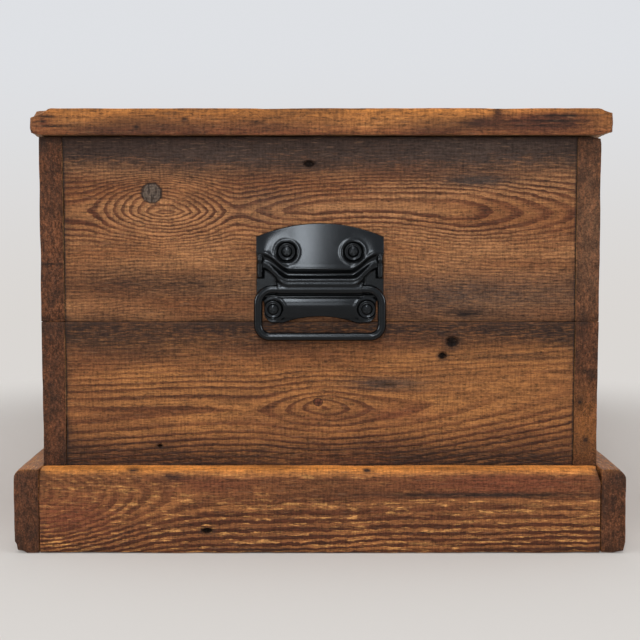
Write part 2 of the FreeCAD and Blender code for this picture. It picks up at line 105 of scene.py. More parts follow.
# Each row gives a board's node, then its step, heart, depth, ring, sway, dark and seed.
BOARDS = {
    group: [Board(node, body, f"{group}_pine", *values) for node, *values in rows]
    for group, body, rows in (
        ("carcass", "chest", (
            ("right_upper_end_board", 2.8, None, None, 3.1, 2.2, 0.25, 3.1),
            ("right_lower_end_board", 2.8, None, None, 4.4, 2.2, 0.25, 7.4),
            ("left_upper_end_board", 5.0, 230, 22, 3.8, 9.0, 0.4, 11.9),
            ("left_lower_end_board", 5.0, 60, 40, 3.4, 8.0, 0.4, 15.2),
            ("front_upper_board", 5.0, 262, 18, 4.2, 14.0, 0.3, 21.7),
            ("front_lower_board", 5.0, 96, 26, 4.0, 12.0, 0.35, 25.3),
            ("back_upper_board", 5.0, 240, 30, 3.9, 12.0, 0.4, 31.6),
            ("back_lower_board", 5.0, 130, 14, 4.1, 13.0, 0.4, 35.8),
        )),
        ("plinth", "chest", (
            ("right_plinth", 2.6, None, None, 3.2, 5.0, 0.2, 41.5),
            ("left_plinth", 4.0, 46, 10, 5.0, 9.0, 0.3, 45.9),
            ("front_plinth", 4.0, 26, 8, 5.4, 10.0, 0.3, 51.2),
            ("back_plinth", 4.0, 70, 12, 5.0, 9.0, 0.35, 55.7),
        )),
        ("lid", "lid", (
            ("lid_front_board", 5.0, -150, 20, 4.2, 13.0, 0.15, 61.4),
            ("lid_middle_board", 5.0, 20, 12, 4.4, 14.0, 0.15, 65.1),
            ("lid_back_board", 5.0, 190, 34, 4.0, 12.0, 0.2, 71.8),
            ("lid_right_clamp", 2.4, None, None, 3.4, 5.0, 0.15, 75.5),
            ("lid_left_clamp", 4.0, -420, 24, 3.8, 8.0, 0.2, 81.3),
        )),
    )
}


class Value:
    """One output of a node. Sums and products of values add Math nodes to its finish."""

    def __init__(self, finish, socket):
        self.finish = finish
        self.socket = socket

    def also(self, output):
        """Another output of the node that this value comes from."""
        return Value(self.finish, self.socket.node.outputs[output])

    def math(self, operation, *others):
        return self.finish.add("ShaderNodeMath", {"operation": operation}, (self, *others))

    def __add__(self, other):
        return self.math("ADD", other)

    def __sub__(self, other):
        return self.math("SUBTRACT", other)

    def __rsub__(self, other):
        return self.finish.add("ShaderNodeMath", {"operation": "SUBTRACT"}, (other, self))

    def __mul__(self, other):
        return self.math("MULTIPLY", other)

    def __truediv__(self, other):
        return self.math("DIVIDE", other)

    def __neg__(self):
        return self.math("MULTIPLY", -1.0)

    def __abs__(self):
        return self.math("ABSOLUTE")

    __radd__, __rmul__ = __add__, __mul__

    def root(self):
        return self.math("SQRT")

    def part(self):
        return self.math("FRACT")

    def lowest(self, other):
        return self.math("MINIMUM", other)

    def highest(self, other):
        return self.math("MAXIMUM", other)

    def rise(self, start, end):
        """0 before start, 1 after end, and a smooth step between."""
        return self.finish.add(
            "ShaderNodeMapRange",
            {"interpolation_type": "SMOOTHSTEP"},
            {"Value": self, "From Min": start, "From Max": end},
        )

    def hump(self, middle, width):
        """1 at middle, falling away to nothing over about twice the width each side."""
        away = (self - middle) / width
        return (away * away).fade()

    def fade(self):
        """1 at 0, falling away to nothing."""
        return (-self).math("EXPONENT")

    def cone(self, middle, blunt):
        """How far it is from middle, with a round point there."""
        away = self - middle
        return (away * away + blunt * blunt).root() - blunt

    def past(self, start, blend):
        """How far it is beyond start, with a round beginning."""
        return (self - start).math("SMOOTH_MAX", 0.0, blend)


class Finish:
    """A material and its nodes."""

    def __init__(self, name):
        self.material = bpy.data.materials.new(name)
        self.material.use_nodes = True
        self.tree = self.material.node_tree
        self.tree.nodes.clear()

    def add(self, kind, settings=None, inputs=(), output=0):
        """Adds a node: its settings first, then the values or links of its sockets. Returns one output."""
        node = self.tree.nodes.new(kind)
        for key, setting in (settings or {}).items():
            setattr(node, key, setting)
        pairs = inputs.items() if isinstance(inputs, dict) else enumerate(inputs)
        for key, given in pairs:
            if isinstance(given, Value):
                self.tree.links.new(given.socket, node.inputs[key])
            else:
                node.inputs[key].default_value = given
        return Value(self, node.outputs[output]) if node.outputs else None

    def split(self, vector):
        x = self.add("ShaderNodeSeparateXYZ", None, (vector,))
        return [x, x.also(1), x.also(2)]

    def cloud(self, x, y, z, detail=2.0, roughness=0.5):
        """Soft noise from 0 to 1 about 0.5, at the place x, y, z."""
        place = self.add("ShaderNodeCombineXYZ", None, (x, y, z))
        return self.add(
            "ShaderNodeTexNoise",
            {"noise_dimensions": "3D"},
            {"Vector": place, "Scale": 1.0, "Detail": detail, "Roughness": roughness},
        )

    def mix(self, first, second, share):
        """A colour between two colours."""
        colours = [given if isinstance(given, Value) else (*given, 1.0) for given in (first, second)]
        inputs = {0: share, 6: colours[0], 7: colours[1]}
        settings = {"data_type": "RGBA", "clamp_factor": True}
        return self.add("ShaderNodeMix", settings, inputs, 2)

    def shade(self, colour, amount):
        """A colour made lighter or darker."""
        return self.add("ShaderNodeVectorMath", {"operation": "SCALE"}, {0: colour, "Scale": amount})

    def bump(self, height, strength, distance):
        return self.add("ShaderNodeBump", None, {"Height": height, "Strength": strength, "Distance": distance})

    def close(self, **sockets):
        """The shader itself, with its sockets by name, and the output."""
        inputs = {key.replace("_", " "): given for key, given in sockets.items()}
        shader = self.add("ShaderNodeBsdfPrincipled", None, inputs)
        self.add("ShaderNodeOutputMaterial", None, {"Surface": shader})
        return self.material


def end_figure_upper(u):
    """The photographed upper end board: an eye below the knot, then tongues that point to the back."""
    eye = 3.0 + 0.47 * u.cone(-116.0, 6.0)
    cap = 25.05 - u.rise(-85.0, 0.0) * 9.85
    under = eye.math("SMOOTH_MIN", cap, 8.0) + u.past(112.0, 15.0) * 0.144
    heart = 257.0 + u.hump(45.0, 60.0) * 5.0
    pointed = 2.0 + u.rise(-165.0, -140.0) * 3.0 - u.rise(50.0, 110.0) * 3.6
    return Figure(heart, under, (1.1, 0.55, 0.5), pointed, above=30.0, beneath=30.0, phase=0.12, rest=24.0)


def end_figure_lower(u):
    """The photographed lower end board: a leaf from the front, an eye at mid width, grain rising at the back."""
    eye = 4.0 + 0.27 * u.cone(6.0, 5.0)
    front = 16.0 - (-u).past(59.0, 20.0) * 0.02
    back = 9.0 + u.past(6.0, 10.0) * 0.085
    share = u.rise(-5.0, 15.0)
    cap = front * (1.0 - share) + back * share
    heart = 107.0 - (-u).rise(80.0, 200.0) * 5.0 + u.past(60.0, 30.0) * 0.126
    under = eye.math("SMOOTH_MIN", cap, 3.0)
    return Figure(heart, under, (0.85, 0.5, 1.35), pointed=1.5, above=38.0, phase=0.2)


def plinth_figure(u):
    """The photographed plinth: long streaks in its lower half, which sweep round the front corner."""
    under = ((u + 236.0) * 0.34).math("SMOOTH_MIN", 40.0, 20.0)
    return Figure(47.0 + u.rise(-60.0, 120.0) * 4.0, under, (1.0, 0.7, 1.9))


def clamp_figure(u):
    """The photographed lid clamp: straight grain that hardly shows."""
    drift = u.finish.cloud(u / 260.0, 7.0, 1.7, 1.0) - 0.5
    return Figure(400.0, 30.0 + drift * 12.0, (0.3, 0.3, 0.3))


def plain_figure(board):
    """A board whose log bends a little, so that the grain closes in tongues here and there."""

    def figure(u):
        bend = u.finish.cloud(u / 210.0 + board.seed, 0.0, board.seed, 1.0) - 0.5
        drift = u.finish.cloud(u / 330.0, board.seed, 1.7, 1.0) - 0.5
        heart, under = board.heart + drift * 26.0, board.depth + bend * 62.0
        return Figure(heart, under, (0.9, 0.55, 0.7), pointed=3.0, above=34.0, beneath=34.0, rest=board.depth)

    return figure


FIGURES = {
    "right_upper_end_board": end_figure_upper,
    "right_lower_end_board": end_figure_lower,
    "right_plinth": plinth_figure,
    "lid_right_clamp": clamp_figure,
}

# Where in a year's growth the dark line starts and is full, and how ragged its edge is, by slot or board.
LATE_LINES = {
    "carcass_pine": (0.38, 0.7, 0.35),
    "plinth_pine": (0.34, 0.6, 0.5),
    "lid_pine": (0.5, 0.85, 0.4),
    "right_lower_end_board": (0.46, 0.74, 0.2),
}

KNOTS = {
    "right_upper_end_board": (
        Knot((430, -127.1, 271.4), 7.6, 7.4, "knot"),
        Knot((430, -8.3, 293.1), 4.4, 2.4, "hole"),
    ),
    "right_lower_end_board": (
        Knot((430, -1.5, 112.5), 3.4, 2.9, "red"),
        Knot((430, 100.6, 158.2), 4.6, 4.4, "hole"),
        Knot((430, 93.4, 147.8), 3.0, 2.6, "hole"),
        Knot((430, -122.5, 78.5), 1.8, 1.2, "hole"),
    ),
    "right_plinth": (Knot((449, -85.3, 17.0), 4.2, 2.0, "hole"),),
    "left_upper_end_board": (Knot((-430, 122.0, 232.0), 7.0, 6.4, "knot"),),
    "left_lower_end_board": (Knot((-430, -96.0, 104.0), 5.0, 4.2, "hole"),),
    "front_upper_board": (
        Knot((-205.0, -212, 268.0), 8.5, 7.6, "knot"),
        Knot((268.0, -212, 236.0), 5.0, 4.4, "hole"),
    ),
    "front_lower_board": (Knot((96.0, -212, 110.0), 6.0, 5.2, "red"),),
    "back_upper_board": (Knot((170.0, 212, 228.0), 7.0, 6.4, "knot"),),
    "back_lower_board": (Knot((-240.0, 212, 122.0), 8.0, 7.0, "knot"),),
    "lid_front_board": (Knot((-262.0, -148.0, 334), 8.0, 7.4, "knot"),),
    "lid_middle_board": (
        Knot((188.0, 8.0, 334), 9.0, 8.0, "knot"),
        Knot((-40.0, 38.0, 334), 4.4, 3.6, "red"),
    ),
    "lid_back_board": (Knot((-96.0, 172.0, 334), 6.4, 5.6, "knot"),),
}

# How dry and dull a board's wood is under its wax.
DULL = {"right_upper_end_board": 0.35}

# How far the wood leans to the red of the heartwood, by slot.
BLUSH = {"carcass_pine": 0.0, "plinth_pine": 0.3, "lid_pine": 0.0}

# How bare a board's inner face is, by slot.
INSIDE_SHARE = {"carcass_pine": 0.9, "plinth_pine": 0.0, "lid_pine": 0.8}

# How much of a board is rubbed through to bright flecks, by slot.
FLECKS = {"carcass_pine": 0.12, "plinth_pine": 1.1, "lid_pine": 0.2}

# The dark lines where an end board meets the front and back boards.
SIDE_GAPS = [StainOrPaintedLight((0, side * 193.6, 0), (0, 1.1, 0), "hole", 1.0) for side in (1, -1)]

STAINS_AND_PAINTED_LIGHT = {
    "right_upper_end_board": (
        StainOrPaintedLight((0, 0, 318), (0, 0, 25), "wax", 1.7),
        StainOrPaintedLight((0, 0, 311), (0, 0, 11), "wax", 0.8),
        StainOrPaintedLight((0, -50, 304), (0, 75, 12), "wax", 0.9),
        StainOrPaintedLight((0, -60, 300), (0, 120, 12), "grey", 0.7),
        StainOrPaintedLight((0, 120, 304), (0, 85, 17), "grey", 0.9),
        StainOrPaintedLight((0, 118, 281), (0, 25, 4.5), "grey", 1.1),
        StainOrPaintedLight((0, -8, 294), (0, 22, 4), "wax", 0.7),
        # Painted shadow: a thin near-black line under the lid's overhang.
        StainOrPaintedLight((0, 0, 315), (0, 0, 2.2), "hole", 1.2),
        StainOrPaintedLight((0, -120, 202), (0, 95, 12), "wax", 0.8),
        StainOrPaintedLight((0, 110, 194), (0, 120, 17), "grey", 0.75),
        StainOrPaintedLight((0, 0, 176), (0, 0, 7), "wax", 0.4),
        StainOrPaintedLight((0, 112, 181), (0, 20, 3.4), "wax", 0.8),
        StainOrPaintedLight((0, 111, 179.8), (0, 8, 1.5), "hole", 1.2),
        StainOrPaintedLight((0, 107.7, 291), (0, 0.6, 6), "hole", 0.8),
        StainOrPaintedLight((0, -40, 262), (0, 26, 14), "grey", 0.35),
        *SIDE_GAPS,
    ),
    "right_lower_end_board": (
        StainOrPaintedLight((0, 0, 168), (0, 0, 15), "wax", 0.9),
        StainOrPaintedLight((0, -130, 160), (0, 90, 14), "wax", 0.5),
        StainOrPaintedLight((0, 0, 66), (0, 0, 17), "wax", 0.8),
        StainOrPaintedLight((0, 54, 126.3), (0, 30, 4.5), "grey", 1.1),
        StainOrPaintedLight((0, 52, 126.3), (0, 6, 1.4), "hole", 0.9),
        StainOrPaintedLight((0, 145, 147), (0, 45, 3), "wax", 0.6),
        StainOrPaintedLight((0, 60, 104), (0, 22, 5), "red", 0.6),
        StainOrPaintedLight((0, 140, 124), (0, 62, 15), "early", 0.75),
        *SIDE_GAPS,
    ),
    "right_plinth": (
        StainOrPaintedLight((0, 0, 51), (0, 0, 11), "brown", 0.5),
        # Painted highlight and wear: the rounded top edge is bright where light from above falls on it and where it
        # is rubbed to bare wood.
        StainOrPaintedLight((0, 0, 65.0), (0, 0, 2.9), "wear_and_highlight", 1.7),
        StainOrPaintedLight((446, 0, 65), (5, 0, 4), "wear_and_highlight", 1.0),
        StainOrPaintedLight((0, 140, 53), (0, 75, 8.5), "red", 1.0),
        StainOrPaintedLight((0, 125, 44.5), (0, 90, 2.0), "wax", 1.0),
        StainOrPaintedLight((0, -190, 30), (0, 34, 15), "red", 0.9),
        StainOrPaintedLight((449, -141, 63.5), (9, 5, 2.2), "wax", 1.2),
        StainOrPaintedLight((0, -111, 57.5), (0, 10, 3.6), "wax", 1.1),
        StainOrPaintedLight((449, 35.4, 62.9), (9, 3.4, 1.6), "wax", 1.2),
        StainOrPaintedLight((0, -85, 52), (0, 40, 7), "red", 0.6),
    ),
    "left_plinth": (
        # Painted highlight and wear on the rounded top edge, where light from above falls and the wax is rubbed
        # off.
        StainOrPaintedLight((0, 0, 65.0), (0, 0, 3.0), "wear_and_highlight", 1.2),
        StainOrPaintedLight((0, -60, 30), (0, 60, 12), "red", 0.8),
    ),
    "front_plinth": (
        # Painted highlight and wear on the rounded top edge, where light from above falls and the wax is rubbed
        # off.
        StainOrPaintedLight((0, 0, 65.0), (320, 0, 3.0), "wear_and_highlight", 1.3),
        StainOrPaintedLight((-180, 0, 48), (90, 0, 9), "red", 0.9),
        StainOrPaintedLight((250, 0, 55), (70, 0, 6), "wax", 0.8),
    ),
    "back_plinth": (
        # Painted highlight and wear on the rounded top edge, where light from above falls and the wax is rubbed
        # off.
        StainOrPaintedLight((0, 0, 65.0), (320, 0, 3.6), "wear_and_highlight", 1.3),
        StainOrPaintedLight((140, 0, 40), (120, 0, 10), "red", 0.9),
    ),
    "left_upper_end_board": (
        StainOrPaintedLight((0, 0, 318), (0, 0, 18), "wax", 1.0),
        StainOrPaintedLight((0, 90, 205), (0, 80, 9), "wax", 0.8),
    ),
    "left_lower_end_board": (
        StainOrPaintedLight((0, 0, 66), (0, 0, 15), "wax", 0.7),
        StainOrPaintedLight((0, -60, 150), (0, 70, 9), "grey", 0.7),
    ),
    "front_lower_board": (
        StainOrPaintedLight((0, 0, 66), (0, 0, 14), "wax", 0.7),
        StainOrPaintedLight((0, 0, 170), (0, 0, 9), "wax", 0.5),
        StainOrPaintedLight((160, 0, 128), (60, 0, 6), "grey", 0.8),
    ),
    "lid_front_board": (
        # Painted highlight and wear on the lid's rounded upper edge, where light from above falls and the wax is
        # rubbed off.
        StainOrPaintedLight((0, -220, 335), (0, 6, 8), "wear_and_highlight", 0.6),
        StainOrPaintedLight((120, -120, 334), (70, 10, 0), "wax", 0.6),
    ),
    "lid_middle_board": (StainOrPaintedLight((-170, 30, 334), (90, 9, 0), "wax", 0.7),),
    "lid_back_board": (
        # Painted highlight and wear on the lid's rounded upper edge, where light from above falls and the wax is
        # rubbed off.
        StainOrPaintedLight((0, 220, 335), (0, 6, 8), "wear_and_highlight", 0.5),
        StainOrPaintedLight((60, 150, 334), (110, 8, 0), "wax", 0.6),
    ),
    "lid_left_clamp": (
        # Painted highlight and wear on the lid's rounded upper edge, where light from above falls and the wax is
        # rubbed off.
        StainOrPaintedLight((-438, 0, 335), (7, 0, 8), "wear_and_highlight", 0.6),
        StainOrPaintedLight((0, 120, 326), (0, 22, 5), "wax", 0.9),
    ),
    "front_upper_board": (
        StainOrPaintedLight((0, 0, 318), (0, 0, 15), "wax", 0.9),
        StainOrPaintedLight((-110, 0, 206), (110, 0, 9), "wax", 0.8),
        StainOrPaintedLight((430, -204, 217.8), (8, 14, 1.0), "hole", 0.9),
    ),
    "back_upper_board": (
        StainOrPaintedLight((0, 0, 318), (0, 0, 13), "wax", 0.8),
        StainOrPaintedLight((430, 204, 240), (20, 14, 60), "scuff", 0.25),
    ),
    "back_lower_board": (
        StainOrPaintedLight((0, 0, 66), (0, 0, 14), "wax", 0.7),
        StainOrPaintedLight((430, 203, 92), (20, 16, 30), "wear_and_highlight", 0.22),
        StainOrPaintedLight((430, 203, 136), (9, 8, 2.4), "hole", 0.8),
        StainOrPaintedLight((430, 208, 132), (9, 5, 2.6), "hole", 0.8),
        StainOrPaintedLight((430, 198.5, 112.5), (9, 2.2, 2.2), "hole", 0.9),
        StainOrPaintedLight((430, 203.6, 83.2), (9, 2.4, 2.2), "hole", 0.9),
    ),
    "lid_right_clamp": (
        # Painted highlight and wear on the lid's rounded upper edge, where light from above falls and the wax is
        # rubbed off.
        StainOrPaintedLight((438, 0, 335), (7, 0, 8), "wear_and_highlight", 0.6),
        StainOrPaintedLight((438, 0, 315), (7, 0, 6), "red", 0.8),
        StainOrPaintedLight((438, 133, 329), (9, 3.4, 8), "hole", 1.3),
        StainOrPaintedLight((438, 121, 323), (9, 14, 3.8), "wax", 1.2),
        StainOrPaintedLight((438, 166, 324), (9, 38, 8), "red", 1.4),
        StainOrPaintedLight((438, 175, 322), (9, 34, 6), "wax", 0.7),
        StainOrPaintedLight((0, 172, 325), (0, 34, 0.9), "hole", 1.0),
        StainOrPaintedLight((0, 180, 328.8), (0, 24, 0.8), "hole", 0.9),
        StainOrPaintedLight((0, 160, 321.5), (0, 26, 0.8), "hole", 0.8),
        StainOrPaintedLight((438, -208, 324), (9, 10, 8), "red", 0.9),
        StainOrPaintedLight((0, -200, 321), (0, 14, 1.1), "hole", 1.0),
        StainOrPaintedLight((0, -205, 328), (0, 8, 1.2), "hole", 1.0),
        StainOrPaintedLight((0, -209, 324.5), (0, 5, 1.0), "hole", 1.0),
        StainOrPaintedLight((0, -137, 320.2), (0, 2.2, 1.6), "hole", 1.0),
        StainOrPaintedLight((0, -101, 326), (0, 2.4, 1.6), "wax", 0.9),
        StainOrPaintedLight((0, -47, 324), (0, 4.5, 1.5), "hole", 0.9),
        StainOrPaintedLight((0, 40.4, 326.8), (0, 3.0, 1.0), "hole", 0.9),
    ),
}

BRUISES = {
    "lid_right_clamp": (
        Bruise((436.5, -217.5, 334.4), (26, 15, 15), (-1.2, 0.0, -6.8), 0.15),
        Bruise((436.5, -217.5, 313.0), (26, 8, 6), (-0.6, 0.8, 1.4), 0.2),
        Bruise((436.5, 219.5, 334.4), (60, 10, 9), (0.0, -0.4, -3.0), 0.15),
        Bruise((436.5, 219.5, 314.4), (60, 10, 8), (0.0, -0.4, 2.2), 0.15),
    ),
    "front_plinth": (Bruise((449, -231, 0), (40, 9, 9), (0.0, 2.2, 2.2), 0.1),),
    "back_plinth": (Bruise((449, 231, 0), (40, 7, 7), (0.0, -1.6, 1.6), 0.3),),
    "right_plinth": (Bruise((449, 212, 64), (20, 10, 10), (0.0, -2.0, -2.6), 0.3),),
    "back_upper_board": (Bruise((430, 212, 314), (90, 7, 6), (0.0, -0.7, -1.8), 0.3),),
}


def axes_of(node):
    """The box of a board, with its axes along the grain, across it and through it, and which way is out."""
    low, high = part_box(node)
    order = sorted(range(3), key=lambda axis: low[axis] - high[axis])
    along, across, through = order
    out = 1.0 if low[through] + high[through] > 0 else -1.0
    return low, high, along, across, through, out


def between(first, second, share):
    """A colour between two plain colours."""
    return [start + (end - start) * share for start, end in zip(first, second)]


def pine_finish(board, wood):
    """Waxed old pine: year rings about the log's heart, knots, wax in the hollows and dark ends."""
    finish = Finish(f"pine_{board.node}")
    low, high, along, across, through, out = axes_of(board.node)
    place = finish.split(finish.add("ShaderNodeTexCoord", output="Object"))
    facing = finish.split(finish.add("ShaderNodeTexCoord", output="Normal"))
    mm = [axis / MM for axis in place]
    u, v = mm[along], mm[across]
    face = (high if out > 0 else low)[through] / MM
    depth = (mm[through] - face) * -out
    seed = board.seed
    knots = KNOTS.get(board.node, ())

    def grain(length, width, detail=2.0, roughness=0.5, shifted=2):
        """Noise with spots of a length and width in mm. The board's seed moves it along the axis shifted."""
        spot = [u / length, v / width, depth / width]
        spot[shifted] = spot[shifted] + seed
        return finish.cloud(*spot, detail, roughness)

    # The year rings, and where in a year's growth each place lies.
    sway = (grain(150.0, 46.0, shifted=0) - 0.5) * (2.0 * board.sway)
    start, full, ragged = LATE_LINES.get(board.node, LATE_LINES[board.slot])
    ripple = (grain(9.0, 5.0, 3.0, 0.6, shifted=1) - 0.5) * (2.0 + 3.4 * ragged)
    figure = (FIGURES.get(board.node) or plain_figure(board))(u)
    aside = v + sway + ripple - figure.heart
    under = figure.under
    if figure.rest is not None:
        under = under + (figure.rest - under) * abs(aside).rise(12.0, 42.0)
    below = depth + under
    radius = (aside * aside + abs(aside) * (2.0 * figure.pointed) + below * below).root()
    for knot in knots:
        if knot.colour != "hole":
            lift = knot_offset(u, v, knot, along, across, longer=4.5, higher=1.9).fade()
            radius = radius - lift * (knot.half_height * 1.1)
    above = aside.highest(0.0) / figure.above
    beneath = aside.lowest(0.0) / figure.beneath
    years = radius / board.ring + above * above + beneath * beneath + figure.phase
    years = years + (finish.cloud(radius / 9.0, seed, 3.0, 1.0) - 0.5) * 0.7
    turn = (years + (grain(20.0, 2.8, 3.0, 0.6) - 0.5) * ragged).part()
    drop = turn.rise(0.93, 1.0)
    patch = grain(70.0, 16.0)
    bold_near, bold_above, bold_below = figure.bold
    bold = bold_near + aside.rise(16.0, 38.0) * (bold_above - bold_near)
    bold = bold + (-aside).rise(9.0, 32.0) * (bold_below - bold_near)
    late = (turn.rise(start, full) - drop) * (0.35 + patch.rise(0.25, 0.65) * 0.65) * bold
    warm = (turn.rise(0.15, 0.9) - drop) * 0.4 * bold

    # The face of the board.
    tone = grain(150.0, 30.0, shifted=1)
    fibre = grain(15.0, 1.3, 3.0, 0.7).rise(0.34, 0.66)
    saw = grain(1.5, 13.0, shifted=0).rise(0.34, 0.66)
    grit = grain(2.6, 1.6, 3.0, 0.75, shifted=1).rise(0.36, 0.64)
    gold = between(wood.early, wood.scuff, DULL.get(board.node, 0.0))
    gold = between(gold, wood.red, BLUSH[board.slot])
    fleck = grain(14.0, 2.0, 3.0, 0.65).rise(0.54, 0.64) * (1.0 - late * 0.8)
    colour = finish.mix(gold, wood.brown, tone.rise(0.34, 0.68))
    colour = finish.mix(colour, wood.red, warm)
    colour = finish.mix(colour, wood.late, late * 0.92)
    colour = finish.mix(colour, wood.fleck, fleck * FLECKS[board.slot])

    # The sawn ends and the inner face.
    end_share = abs(facing[along]).rise(0.6, 0.9)
    speck = grain(4.0, 1.4)
    smear = finish.cloud(u / 9.0, v / 14.0 + seed, depth / 5.0, 3.0, 0.6)
    dirt = turn.rise(0.2, 0.95) * 0.18 + speck.rise(0.4, 0.75) * 0.3 + smear.rise(0.35, 0.7) * 0.5
    pores = finish.cloud(u / 3.0, v / 4.2, depth / 1.6 + seed, 4.0, 0.7).rise(0.34, 0.66)
    end_colour = finish.shade(finish.mix(wood.end_grain, wood.wax, dirt), 0.42 + pores * 0.95)
    colour = finish.mix(colour, end_colour, end_share)
    inner = (facing[through] * -out).rise(0.6, 0.9) * INSIDE_SHARE[board.slot]
    plain = finish.mix(wood.bare, wood.early, tone.rise(0.3, 0.7) * 0.5 + late * 0.5)
    colour = finish.mix(colour, finish.shade(plain, 0.7 + fibre * 0.4), inner)

    # Stains, the painted shadow and highlights among them, and knots, then the fine texture over all of it.
    scratchy = grain(8.0, 1.3, 3.0, 0.65, shifted=1).rise(0.34, 0.6)
    uneven = 0.15 + patch * 0.9 + scratchy * 0.6
    for stain_or_light in STAINS_AND_PAINTED_LIGHT.get(board.node, ()):
        share = stain_or_light_share(mm, stain_or_light) * uneven
        colour = finish.mix(colour, getattr(wood, stain_or_light.colour), share * stain_or_light.strength)
    for knot in knots:
        colour = knot_colour(finish, colour, u, v, depth, knot, along, across, wood)
    texture = 0.33 + fibre * 0.6 + saw * 0.3 + grit * 0.42
    colour = finish.shade(colour, texture + (1.0 - texture) * inner * 0.6)

    # Wax along the edges and in patches, pits and scratches.
    sides = (v - low[across] / MM).lowest(high[across] / MM - v)
    ends = (u - low[along] / MM).lowest(high[along] / MM - u)
    grime = (1.0 - sides.rise(0.5, 7.0)) + (1.0 - ends.rise(0.5, 9.0)) * 0.8
    pits = grain(4.4, 1.4, 2.0, 0.6).rise(0.58, 0.68)
    scratch = grain(12.0, 1.3, 2.0, 0.6, shifted=1).rise(0.6, 0.7)
    for tint, share in (
        (wood.wax, grime * patch.rise(0.3, 0.75) * 0.6),
        (wood.wax, patch.rise(0.5, 0.85) * board.dark),
        (wood.hole, pits * 0.45),
        (wood.scuff, scratch * 0.2),
    ):
        colour = finish.mix(colour, tint, share)

    height = late * 0.4 + fibre * 0.5 + saw * 0.3 + grit * 0.3 - pits * 0.6
    rough = 0.5 + fibre * 0.18 + end_share * 0.12 - late * 0.06
    normal = finish.bump(height, 0.55, 0.0005)
    return finish.close(Base_Color=colour, Roughness=rough, Normal=normal, Specular_IOR_Level=0.14)


def knot_offset(u, v, knot, along, across, longer=1.0, higher=1.0):
    """The square of how far a place is from a knot's middle, in knot radii, on values or plain numbers."""
    du = (u - knot.middle[along]) / (knot.half_length * longer)
    dv = (v - knot.middle[across]) / (knot.half_height * higher)
    return du * du + dv * dv


def stain_or_light_share(mm, stain_or_light):
    """1 in the middle of a stain or painted light patch, fading out over its reach."""
    steps = [(mm[axis] - stain_or_light.middle[axis]) / reach for axis, reach in enumerate(stain_or_light.reach) if reach]
    return sum((step * step for step in steps[1:]), steps[0] * steps[0]).fade()


def knot_colour(finish, colour, u, v, depth, knot, along, across, wood):
    """Lays a knot over a colour: a ringed disc with a dark rim, or a dark hole."""
    wander = (finish.cloud(u / 3.0, v / 3.0, depth / 3.0, 2.0) - 0.5) * 0.35
    away = knot_offset(u, v, knot, along, across).root() + wander
    near_face = 1.0 - depth.rise(6.0, 9.0)
    if knot.colour == "hole":
        halo = (1.0 - away.rise(0.7, 2.4)) * 0.7
        colour = finish.mix(colour, wood.wax, halo * near_face)
        return finish.mix(colour, wood.hole, (1.0 - away.rise(0.7, 1.05)) * near_face)
    rings = (away * 2.6).part().rise(0.2, 0.9) * 0.4
    splits = finish.cloud(u / 1.1, v / 9.0, depth / 9.0, 2.0).rise(0.46, 0.64) * 0.8
    disc = finish.mix(getattr(wood, knot.colour), wood.hole, rings.highest(splits))
    colour = finish.mix(colour, disc, (1.0 - away.rise(0.9, 1.06)) * near_face)
    return finish.mix(colour, wood.hole, away.hump(1.0, 0.11) * near_face * 0.85)


def round_off(shape, edges, radius, segments):
    """Rounds edges of a bmesh."""
    bmesh.ops.bevel(
        shape, geom=edges, offset=radius, offset_type="OFFSET", affect="EDGES",
        segments=segments, profile=0.5, material=-1,
    )


def plain_board(low, high, rounds, arris):
    """A bmesh box with some edges rounded and the rest just taken off. rounds: face pair, radius, segments."""
    shape = bmesh.new()
    bmesh.ops.create_cube(shape, size=1.0)
    bmesh.ops.scale(shape, vec=high - low, verts=shape.verts)
    bmesh.ops.translate(shape, vec=(low + high) / 2, verts=shape.verts)
    for faces, radius, segments in rounds:
        edges = [edge for edge in shape.edges if all(on_face(edge, low, high, face) for face in faces)]
        round_off(shape, edges, radius, segments)
    sharp = [edge for edge in shape.edges if edge.is_manifold and edge.calc_face_angle() > math.radians(60)]
    round_off(shape, sharp, arris, 2)
    return shape


def on_face(edge, low, high, face):
    """Whether both ends of an edge lie on a face of a box, such as +z."""
    axis = "xyz".index(face[1])
    level = (high if face[0] == "+" else low)[axis]
    return all(abs(vert.co[axis] - level) < 1e-6 for vert in edge.verts)


def divide(shape, step):
    """Cuts the long edges of a box along each axis into steps, which leaves a grid on every face."""
    for axis in range(3):
        groups = {}
        for edge in shape.edges:
            run = edge.verts[1].co - edge.verts[0].co
            if abs(run[axis]) > 0.999 * run.length and run.length > 1.6 * step:
                groups.setdefault(round(run.length / step), []).append(edge)
        for cuts, edges in groups.items():
            bmesh.ops.subdivide_edges(shape, edges=edges, cuts=max(1, cuts - 1), use_grid_fill=True)


